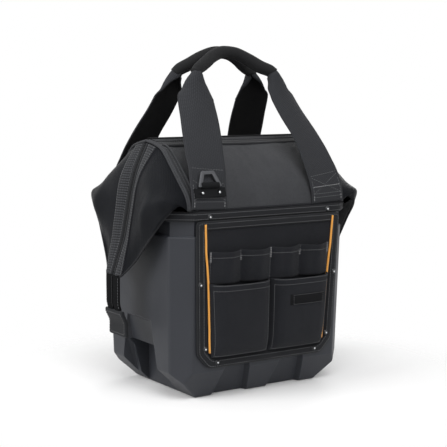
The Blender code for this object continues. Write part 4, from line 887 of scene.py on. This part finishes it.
def roof_piece(side):
    """One roof half with its ridge hem, raised seams and stitches."""
    up = Vector((0, side * 0.3, 1))
    rows = [[roof_skin(x, t, side, roof_wave(x, t, side)) for x in steps(60, -ROOF_HALF, ROOF_HALF)]
            for t in steps(40)]
    pieces = [thick(grid("roof_skin", rows, ROOF_FABRIC_PAINTED_LIGHT, (0, side, 0.6)), ROOF_THICK, inside=LINING)]
    pieces.append(grid("roof_hem", [roof_line(HEM_HALF, 60, t, side, out) for t, out in HEM], BINDING, up))
    lines = [[(p, up) for p in roof_line(RIDGE_HALF, 60, t, side, 0.0019)] for t in (0.825, 0.885)]
    for way in (-1, 1):
        for x, radius in END_SEAMS:
            seam = [roof_skin(way * x, t, side, 0.0006) for t in steps(40, 0.01, 0.99)]
            # The raised end seams take the lighter roof cloth, a painted highlight on their ridges
            pieces.append(tube("roof_seam", seam, radius, ROOF_FABRIC_PAINTED_LIGHT))
        line = []
        for t in steps(40, 0.02, 0.81):
            flat, proud, far = (roof_skin(way * SEWN_HALF, t, side, out) for out in (0.0, 0.0006, 1.0))
            line.append((proud, far - flat))
        lines.append(line)
    foot = roof_line(ROOF_HALF * 0.99, 60, 0.006, side, 0.0005)
    return pieces + [tube("roof_foot_seam", foot, THIN_SEAM, FABRIC), stitches(lines)]


def coil_teeth(line, across, up):
    """Zip teeth along a line of points, each a short five-sided bar."""
    across, up = Vector(across).normalized(), Vector(up).normalized()
    fine = spline(line, int(run(line)[-1] / TOOTH_PITCH) + 1)
    points, faces = [], []
    for p, q in zip(fine, fine[1:]):
        along, start = (q - p).normalized(), len(points)
        for end in (-TOOTH_HALF, TOOTH_HALF):
            points += [p + along * (end * TOOTH_PITCH) + across * wide + up * high for wide, high in TOOTH]
        faces += [(start + k, start + (k + 1) % 5, start + 5 + (k + 1) % 5, start + 5 + k) for k in range(5)]
        faces += [[start + k for k in reversed(range(5))], [start + 5 + k for k in range(5)]]
    return plain_mesh("teeth", points, faces, COIL)


def ridge_zip(side):
    """Ribbed tape, inner edge and teeth of one half of the ridge zip."""
    tape = [roof_line(RIDGE_HALF, 80, t, side, out) for t, out in RIDGE_TAPE]
    ridge = roof_line(RIDGE_HALF, 80, 1.0, side)
    under = [[Vector((p.x, side * y, p.z - 0.0010)) for p in ridge] for y in (0.0001, 0.0009, 0.0020)]
    return [
        grid("ridge_tape", tape, RIBBED, (0, 0, 1), flip_uv=True), grid("ridge_under", under, BINDING, (0, 0, 1)),
        coil_teeth(roof_line(TEETH_HALF, 80, TEETH_AT, side, TEETH_OUT), (0, -side, 0), (0, 0, 1)),
    ]


def rod_sleeve(face_name):
    """Cloth channel that wraps the stay rod on the inside of the roof."""
    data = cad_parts[face_name + "_mouth_frame"].data.copy()
    data.materials.clear()
    moved = [v.co + v.normal * ROD_CLOTH for v in data.vertices]
    for v, spot in zip(data.vertices, moved):
        v.co = spot
    return finish_mesh("rod_sleeve", data, LINING)


def hinge_strip(side, name):
    """Inner cloth that bridges the rim band and the foot of one roof half."""
    rows = []
    for z in steps(8, HINGE_FOOT, HINGE_TOP):
        if z < ROOF_FOOT:
            rows.append([Vector((x, side * HINGE_Y, z)) for x in steps(56, -HINGE_HALF, HINGE_HALF)])
        else:
            rows.append(roof_line(HINGE_HALF, 56, (z - ROOF_FOOT) / HINGE_RUN, side, HINGE_IN))
    return apply_all(thick(grid(name, rows, LINING, (0, -side, 0)), HINGE_THICK, 1.0))


# Wing gussets


SEAM_LOW = 0.2412
ZIP_Y = 0.0006
SEAM = [Vector((WING_START, max(p.y * ROOF_SPAN, ZIP_Y), max(ROOF_FOOT + p.z * (ROOF_TOP - ROOF_FOOT), SEAM_LOW)))
        for p in END]
FOLD = spline(WING_FOLD, 40)
ZIP = spline([(x, ZIP_Y, z) for x, z in WING_ZIP], 40)
ZIP[0] = SEAM[-1]
# Directions and heights of the wing's puff and of the ear beside its fold
WING_PUFF, PUFF_HIGH = Vector((0.953, 0.09, 0.288)), 0.0130
WING_EAR, EAR_HIGH = Vector((0.570, 0.680, 0.080)), 0.0150
FOOT_RISE, LINING_SAG = 0.0055, 0.0105
# Distances from the zip line and lifts off the cloth: five for the zip flap, and from the fifth the ribbed tape
TAPE_EDGES = (0.0012, 0.0024, 0.0048, 0.0068, 0.0078, 0.0086, 0.0120, 0.0165, 0.0210, 0.0240, 0.0250)
TAPE_LIFTS = (0.0003, 0.0018, 0.0024, 0.0018, 0.0006, 0.0016, 0.0022, 0.0023, 0.0021, 0.0015, 0.0002)


def wing_flat(u, v):
    """A point of the plain sheet between roof seam (v 0), fold and zip, from its foot (u 0) to the ridge."""
    start, rim = along_path(SEAM, u), along_path(FOLD, u)
    low, high = SEAM[0].lerp(FOLD[0], v), along_path(ZIP, v)
    low = low + Vector((0, 0, FOOT_RISE * arch(v) ** 2))
    corners = SEAM[0] * ((1 - u) * (1 - v)) + SEAM[-1] * (u * (1 - v)) + FOLD[0] * ((1 - u) * v) + FOLD[-1] * (u * v)
    return start * (1 - v) + rim * v + low * (1 - u) + high * u - corners


def wing_skin(u, v, lift=0.0):
    """A point of one quarter, puffed out and softly creased, given with +X and +Y."""
    swell = arch(u / 0.95) ** 0.6 if u < 0.95 else 0.0
    puff = PUFF_HIGH * swell * arch(v) ** (1.0 + 0.9 * smooth((v - 0.5) / 0.3) * smooth((u - 0.12) / 0.25))
    crease = 0.0030 * wobble((u * 0.16, v * 0.05, 0.3), 30, 4) + 0.0024 * math.sin(9.0 * u + 5.0 * v) * v
    crease += 0.0022 * math.sin(4.0 + 11.0 * v - 6.0 * u) * smooth(v / 0.4)
    puff += swell * arch(v) ** 0.7 * crease
    ear = EAR_HIGH * arch(min(u / 0.9, 1.0)) ** 0.6 * abs(arch(v ** 1.15)) ** 0.7
    ear *= 1 - 0.5 * smooth((u - 0.2) / 0.35) * v
    return wing_flat(u, v) + WING_PUFF * (puff + lift) + WING_EAR * ear


def wing_up(v, reach):
    """How far up the wing, at v, its cloth comes within a distance of the zip's plane."""
    low, high = 0.5, 1.0
    for _ in range(12):
        middle = (low + high) / 2
        if wing_skin(middle, v).y > reach:
            low = middle
        else:
            high = middle
    return low


def wing_piece(way, side):
    """Puffed outer cloth of one quarter, with its zip flap, ribbed tape, teeth and edge seams."""

    def turned(p, x=0.0, y=0.0, z=0.0):
        return mirror(p + Vector((x, y, z)), way, side)

    out = Vector((way, 0, 0.3))
    rows = [[turned(wing_skin(u, v)) for v in steps(28)] for u in steps(36)]
    skin = thick(grid("wing_skin", rows, WING_FABRIC_PAINTED_SHADE, out), WING_THICK, inside=LINING)
    rows = [[turned(wing_skin(wing_up(v, reach * (1.0 - 0.22 * v)), v, lift))
             for reach, lift in zip(TAPE_EDGES, TAPE_LIFTS)] for v in steps(56, 0.015, 0.990)]
    strip = grid("wing_tape", [spots[4:] for spots in rows], RIBBED, out)
    cover = grid("wing_zip_flap", [spots[:5] for spots in rows], BINDING, out)
    lines = [[(spots[k] + Vector((way * 0.0002, 0, 0)), out) for spots in rows] for k in (5, 9)]
    fold = [turned(along_path(FOLD, t), 0.0002) for t in steps(50)]
    seam = [turned(along_path(SEAM, t), 0.0010, 0, 0.0002) for t in steps(50)]
    teeth = [turned(along_path(ZIP, t), 0.0006, 0.0008) for t in steps(40, 0.03, 0.97)]
    return [
        skin, strip, cover, tube("wing_fold_seam", fold, THIN_SEAM, BINDING),
        # The top seam takes the lighter roof cloth, a painted highlight on its ridge
        tube("wing_top_seam", seam, WING_SEAM, ROOF_FABRIC_PAINTED_LIGHT),
        coil_teeth(teeth, (0, -side, 0), (way, 0, 0.22)), stitches(lines),
    ]


def wing_lining(way, side):
    """Inner layer from the fold edge back in to the rim band."""
    rows = []
    for u in steps(28):
        fold = along_path(FOLD, u) + Vector((-0.0016, 0, 0))
        end = Vector((WING_RETURN.x, max(WING_RETURN.y * (1 - u), ZIP_Y), WING_RETURN.z))
        row = []
        for t in steps(12):
            p = fold.lerp(end, t)
            p.x -= LINING_SAG * arch(t) * math.sin(u * math.pi / 2)
            p.x += 0.0012 * arch(t) * wobble(p, 40, 6)
            row.append(mirror(p, way, side))
        rows.append(row)
    return thick(grid("wing_inner", rows, LINING, (-way, 0, -0.3)), LINING_THICK)


for side, face_name in SIDES:
    body = face_name + "_mouth"
    roof = joined(face_name + "_roof_soft", roof_piece(side) + [rod_sleeve(face_name)])
    show(roof, body, "woven_fabric", face_name + "_roof")
    show(joined(face_name + "_zip_soft", ridge_zip(side)), body, "woven_fabric", face_name + "_zip_half")
    strip = hinge_strip(side, face_name + "_hinge_strip")
    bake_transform(strip)
    show(strip, None, "woven_fabric")
    for way, hand in HANDS:
        name = f"{face_name}_{hand}_wing"
        wing = joined(name + "_soft", wing_piece(way, side))
        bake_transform(wing)
        show(wing, None, "woven_fabric", f"{face_name}_{hand}_gusset")
        show(wing_lining(way, side), "shell", "woven_fabric").name = name + "_inner"

# Carry straps, grips, rings and their tabs

PALE_STITCH = (0.0030, 0.0022, 0.00035)
FOLDED_HALF, FOLDED_DEEP = 0.0074, 0.0160
# Heights where the strap starts to turn, cup, fold and tuck in, and how far each change runs
TURN_FROM, TURN_RUN, CUP_FROM, CUP_RUN, FOLD_RUN, TUCK_FROM, TUCK_RUN = (
    0.262, 0.080, 0.325, 0.055, 0.0270, 0.4072, 0.0025)
CUP_ROLL, FOLD_ROLL = 0.60, 2.9
# Place and size of the tab's bright rivet domes, a painted highlight
TAB_GLINT_X, TAB_GLINT_UP, TAB_GLINT_RADIUS = 0.0122, 0.0062, 0.0016
RING_ROD = 0.0018
RING_OUTER = [(0.0150, -0.0018), (0.0163, -0.0012), (0.0162, 0.0010), (0.0098, 0.0172), (0.0080, 0.0188)]
RING_INNER = [(0.0100, 0.0012), (0.0106, 0.0014), (0.0104, 0.0024), (0.0058, 0.0134), (0.0050, 0.0140)]
# Section of the ring's flat rod: share of the way from the outer to the inner outline, and depth
RING_SECTION = (
    (0.0, -0.0008), (0.0, 0.0010), (0.07, 0.0015), (0.5, 0.0017), (0.93, 0.0015), (1.0, 0.0010), (1.0, -0.0008),
    (0.5, -0.0014), (0.0, -0.0008),
)


def strap_rows(side, way):
    """Rows of a strap from the roof foot up: flat, then cupped, then folded to a sharp neck for the grip."""
    path = spline(STRAP_PATH, 84)
    rows = []
    for i, p in enumerate(path):
        turn = STRAP_TWIST * smooth((p.z - TURN_FROM) / TURN_RUN)
        wide = square(Vector((math.cos(turn), -math.sin(turn), 0)), heading(path, i))
        out = wide.cross(heading(path, i))
        if out.y < 0:
            out = -out
        close = clamp((p.z - SHOULDER_Z) / FOLD_RUN)
        curl = CUP_ROLL * smooth((p.z - CUP_FROM) / CUP_RUN)
        roll = max(curl + (FOLD_ROLL - curl) * close, 0.02)
        half, deep = STRAP_HALF, 0.0
        if curl > 0.02:
            half, deep = STRAP_HALF * math.sin(curl) / curl, STRAP_HALF * (1 - math.cos(curl)) / curl
        tuck = smooth((p.z - TUCK_FROM) / TUCK_RUN)
        half += (FOLDED_HALF - half) * close - 0.0028 * tuck
        deep += (FOLDED_DEEP - deep) * close - 0.0040 * tuck
        bow = 0.0008 * arch(i / 83 * 2.3) * (1 - close)
        twist = 0.0007 * wobble((p.x + way * 2.0, p.y + side * 3.0, p.z), 20)
        row = []
        for s in steps(16, -1.0, 1.0):
            x = half * math.sin(s * roll) / math.sin(min(roll, math.pi / 2))
            n = deep * (0.45 - (1 - math.cos(s * roll)) / (1 - math.cos(roll)))
            row.append(mirror(p + wide * x + out * (n + bow * (s * s - 0.4) + twist), way, side))
        rows.append(row)
    return rows


def strap_piece(side, way):
    """One strap, sewn along its edges, with a crossed box at its foot."""
    rows = strap_rows(side, way)

    def sewn(spots, y, z):
        return [(p + Vector((0, side * y, z)), Vector((0, side, 0.2))) for p in spots]

    # The strap's inner side takes the darker webbing copy, painted shade
    web = thick(grid("strap_web", rows, WEBBING, (0, side, 0.3)), STRAP_THICK, 0.0, inside=WEB_INSIDE_PAINTED_SHADE)
    lines = [sewn([row[c] for row in rows[1:14]], 0.0012, 0.0002) for c in (1, 15)]
    lines += [sewn(rows[k][1:16], 0.0012, 0.0003) for k in ((4, 6, 22) if way < 0 else (3, 5, 16))]
    for a, b in ((rows[5][1], rows[15][15]), (rows[5][15], rows[15][1])):
        lines.append(sewn([a.lerp(b, t) for t in steps(8)], 0.0016, 0.0002))
    pale = [sewn([row[c] for row in rows[1:5]], 0.0013, 0.0002) for c in (1, 15)]
    if way > 0:
        pale.append(sewn(rows[9][1:16], 0.0013, 0.0003))
    return joined("strap_cloth", [web, stitches(lines), stitches(pale, PALE_THREAD, *PALE_STITCH)])


def grip_piece(side):
    """Padded cover of the hand grip, wrapped round both rolled straps and sewn along its underside."""
    path = GRIP_PATH + [(-x, y, z) for x, y, z in reversed(GRIP_PATH[:-1])]
    fine = [Vector((p.x, side * p.y, p.z - GRIP_LEAN * p.x * (1 - (p.x / GRIP_SPAN) ** 2))) for p in spline(path, 90)]
    radii = []
    for i, p in enumerate(fine):
        end = min(i / 89, 1 - i / 89)
        swell = (0.95 + 0.09 * bell(end, 0.2, 0.13)) * (0.90 + 0.10 * smooth(end / 0.06))
        radii.append(GRIP_RADIUS * (1.0 + 0.03 * wobble(p, 40)) * swell)
    cover = tube("grip_cover", fine, radii, GRIP, 28)
    seam = []
    for i, p in enumerate(fine):
        down = square(Vector((0, 0, -1)), heading(fine, i))
        seam.append((p + down * radii[i], down))
    lip = tube("grip_seam", [p + n * 0.0002 for p, n in seam], GRIP_SEAM, GRIP)
    sewn = stitches([[(p + n * 0.0010, n) for p, n in seam]])
    return joined("grip_cloth", [cover, lip, sewn])


def ring_plate(side, face_name):
    """Flat ring with wide legs, drawn in the plane of the modelled ring."""
    _, low, high = node_box(face_name + "_ring")
    near, far = sorted((abs(low.y), abs(high.y)))
    foot = Vector(((low.x + high.x) / 2, side * (far - RING_ROD), low.z + 0.0016))
    head = Vector((foot.x, side * (near + RING_ROD), high.z - 0.0016))
    up = (head - foot).normalized()
    out = Vector((0, side * up.z, -side * up.y))
    outer, inner = ([(-x, z) for x, z in half[1::-1]] + half + [(-x, z) for x, z in half[:1:-1]]
                    for half in (RING_OUTER, RING_INNER))
    rows = []
    for share, depth in RING_SECTION:
        rows.append([foot + Vector((ax + (bx - ax) * share, 0, 0)) + up * (az + (bz - az) * share) + out * depth
                     for (ax, az), (bx, bz) in zip(outer, inner)])
    plate = grid(face_name + "_ring_plate", rows, RING_BLACK, (0, side, 0), loop=True)
    for face in plate.data.polygons:
        face.use_smooth = False
    return plate


def tab_rivet_glints(side, face_name):
    """Two bright domes on the outer face of a ring tab, standing for its rivets; their brightness is a painted
    highlight.
    """
    points, low, high = node_box(face_name + "_ring_tab")
    faces = [list(face.vertices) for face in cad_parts[face_name + "_ring_tab"].data.polygons]
    tree = BVHTree.FromPolygons(points, faces)
    domes = []
    for shift in (-TAB_GLINT_X, TAB_GLINT_X):
        origin = Vector(((low.x + high.x) / 2 + shift, side * 0.2, low.z + TAB_GLINT_UP))
        spot, normal, _, _ = tree.ray_cast(origin, Vector((0, -side, 0)))
        domes.append(painted_glint_dome(spot, normal, TAB_GLINT_RADIUS))
    return joined(face_name + "_tab_rivet_glints", domes)


for side, face_name in SIDES:
    mouth, handle = face_name + "_mouth", face_name + "_handle"
    for way, hand in HANDS:
        strap = strap_piece(side, way)
        strap.name = f"{face_name}_{hand}_strap_soft"
        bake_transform(strap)
        show(strap, None, "webbing", f"{face_name}_{hand}_strap")
    grip = grip_piece(side)
    grip.name = face_name + "_grip_soft"
    show(grip, handle, "soft_rubber", face_name + "_grip")
    show(ring_plate(side, face_name), face_name + "_ring", "dark_metal", face_name + "_ring")
    show(tab_rivet_glints(side, face_name), handle, "dark_metal")

# End tails of ribbed tape, each with a sewn grab tab

TAIL_X, TAIL_TOP, TAIL_LOW, TAIL_SEWN = 0.1699, 0.1546, 0.1030, (0.1525, 0.1125)
TAB_TOP, TAB_TALL, TAB_HALF, TAB_DEEP = 0.1102, 0.0348, 0.0222, 0.0031
TAB_CORNERS = ((-0.0195, 0.1060), (0.0195, 0.1060), (0.0195, 0.0795), (-0.0195, 0.0795), (-0.0195, 0.1060))


def tail_spot(way, y, z, out):
    """A place on the tail, which leans in a little towards its lower end."""
    lean = 0.0020 * smooth((0.120 - z) / 0.010) + 0.0060 * smooth((0.109 - z) / 0.018)
    return Vector((way * (TAIL_X + out - lean), y, z))


def tail_piece(way):
    """Two padded tape halves side by side, with the closed zip showing as a line between them."""
    pieces, out = [], Vector((way, 0, 0))
    for half in (-1, 1):
        rows = []
        for z in steps(24, TAIL_TOP, TAIL_LOW):
            row = []
            for t in steps(8):
                rise = (0.0011 * arch(t) ** 0.5 + 0.0003 * wobble((half, t, z * 3), 20)) * smooth((0.1556 - z) / 0.006)
                row.append(tail_spot(way, half * (0.0006 + 0.0166 * t), z, 0.0006 + rise))
            rows.append(row)
        # The tail halves take the darker tape copy, painted shade
        pieces.append(thick(grid("tail_half", rows, TAIL_TAPE_PAINTED_SHADE, out), TAIL_THICK))
        line = [(tail_spot(way, half * 0.0150, z, 0.0016), out) for z in steps(12, *TAIL_SEWN)]
        pieces.append(stitches([line]))
    teeth = [tail_spot(way, 0.0, z, 0.0006) for z in steps(20, *TAIL_SEWN)]
    return joined("tail_cloth", pieces + [coil_teeth(teeth, (0, 1, 0), out)])


def tab_piece(way):
    """Folded grab tab with a rounded upper fold and a stitched border."""
    rows = []
    for t in steps(26):
        z = TAB_TOP - TAB_TALL * t
        half = TAB_HALF + 0.0004 * math.sin(7.0 * t) - 0.0010 * bell(t, 1.0, 0.03)
        deep = TAB_DEEP * min(1.0, (min(t, 1 - t) / 0.06) ** 0.5 + 0.25)
        ring = []
        for a in (math.tau * c / 40 for c in range(40)):
            y = half * math.copysign(abs(math.cos(a)) ** 0.3, math.cos(a))
            out = deep * math.copysign(abs(math.sin(a)) ** 0.5, math.sin(a)) * (1 + 0.10 * wobble((y, z, way), 70))
            ring.append(tail_spot(way, y, z, out))
        rows.append(ring)
    body = grid("tab_body", rows, BINDING, loop=True)
    close_ends(body, 40, False)
    spots = [(y0 + (y1 - y0) * k / 8, z0 + (z1 - z0) * k / 8)
             for (y0, z0), (y1, z1) in zip(TAB_CORNERS, TAB_CORNERS[1:]) for k in range(8)]
    line = [(tail_spot(way, y, z, 0.0033), Vector((way, 0, 0))) for y, z in spots + spots[:1]]
    return joined("tab_cloth", [body, stitches([line])])


for way, hand in HANDS:
    tail, tab = tail_piece(way), tab_piece(way)
    tail.name, tab.name = hand + "_zip_tail_soft", hand + "_end_tab_soft"
    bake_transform(tail)
    show(tail, None, "webbing", hand + "_zip_tail")
    show(tab, hand + "_tail", "soft_rubber", hand + "_end_tab")

# A pale floor that keeps the shadow and clears to the white backdrop further out

FLOOR_SIZE, FLOOR_NEAR, FLOOR_FAR, FLOOR_Z = 2.5, 0.17, 0.40, -0.0004

material, tree, shader = new_material("pale_floor", (0.90, 0.90, 0.90), 0.9, gloss=0.1)
reach = new_node(tree, "VectorMath", {0: new_node(tree, "TexCoord").outputs["Object"]}, "LENGTH")
fade = new_node(tree, "MapRange", {"From Min": FLOOR_NEAR, "From Max": FLOOR_FAR, "Value": reach.outputs["Value"]})
fade.interpolation_type = "SMOOTHSTEP"
clear = new_node(tree, "BsdfTransparent")
mixer = new_node(tree, "MixShader", {0: fade.outputs[0], 1: shader.outputs[0], 2: clear.outputs[0]})
tree.links.new(mixer.outputs[0], tree.nodes["Material Output"].inputs["Surface"])
data = bpy.data.meshes.new("floor")
spots = [(x * FLOOR_SIZE, y * FLOOR_SIZE, 0) for x, y in ((-1, -1), (1, -1), (1, 1), (-1, 1))]
data.from_pydata(spots, [], [(0, 1, 2, 3)])
made = finish_mesh("floor", data, material)
made.location.z = FLOOR_Z
made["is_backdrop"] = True

# White to the camera and in reflections, and a softer ambient light for the rest

AMBIENT, WHITE = 0.45, 1.0

world = bpy.data.worlds.new("studio")
scene.world = world
world.use_nodes = True
tree = world.node_tree
tree.nodes.clear()
path = new_node(tree, "LightPath")
seen = calc(tree, "ADD", path.outputs["Is Camera Ray"], path.outputs["Is Transmission Ray"])
seen = calc(tree, "MINIMUM", calc(tree, "ADD", seen, path.outputs["Is Glossy Ray"]), 1.0)
ambient, white = (new_node(tree, "Background", {"Color": (1.0, 1.0, 1.0, 1.0), "Strength": strength}).outputs[0]
                  for strength in (AMBIENT, WHITE))
mixer = new_node(tree, "MixShader", {0: seen, 1: ambient, 2: white})
new_node(tree, "OutputWorld", {0: mixer.outputs[0]})

# Four softboxes: place, height aimed at, size and power

for name, place, aim, size, power in (
    ("key", (-2.15, 0.25, 1.2), 0.2, (1.4, 1.6), 38.0), ("fill", (-0.2, -2.5, 1.0), 0.2, (1.4, 1.4), 14.0),
    ("top", (-0.5, -1.35, 1.95), 0.2, (1.8, 1.4), 31.0), ("rim", (1.6, 1.5, 1.2), 0.25, (1.0, 1.4), 16.0),
):
    light = bpy.data.lights.new(name, "AREA")
    light.shape = "RECTANGLE"
    light.size, light.size_y = size
    light.energy = power
    made = new_object(name, light)
    made.location = place
    made.rotation_euler = (Vector((0, 0, aim)) - Vector(place)).to_track_quat("-Z", "Y").to_euler()

# The camera stands in front and to the left, a little above the bag's middle

azimuth, elevation, distance = math.radians(-33.2), math.radians(6.6), 1.615
aim_across, aim_height = -0.0017, 0.2094
right = Vector((math.cos(azimuth), math.sin(azimuth), 0))
back = Vector((math.sin(azimuth) * math.cos(elevation), -math.cos(azimuth) * math.cos(elevation), math.sin(elevation)))
lens = bpy.data.cameras.new("camera")
lens.lens = 96.93
lens.sensor_width = 36.0
lens.clip_end = 30.0
camera = new_object("camera", lens)
camera.location = right * aim_across + Vector((0, 0, aim_height)) + back * distance
camera.rotation_euler = back.to_track_quat("Z", "Y").to_euler()
scene.camera = camera
scene.view_settings.view_transform = "Standard"

low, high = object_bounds()
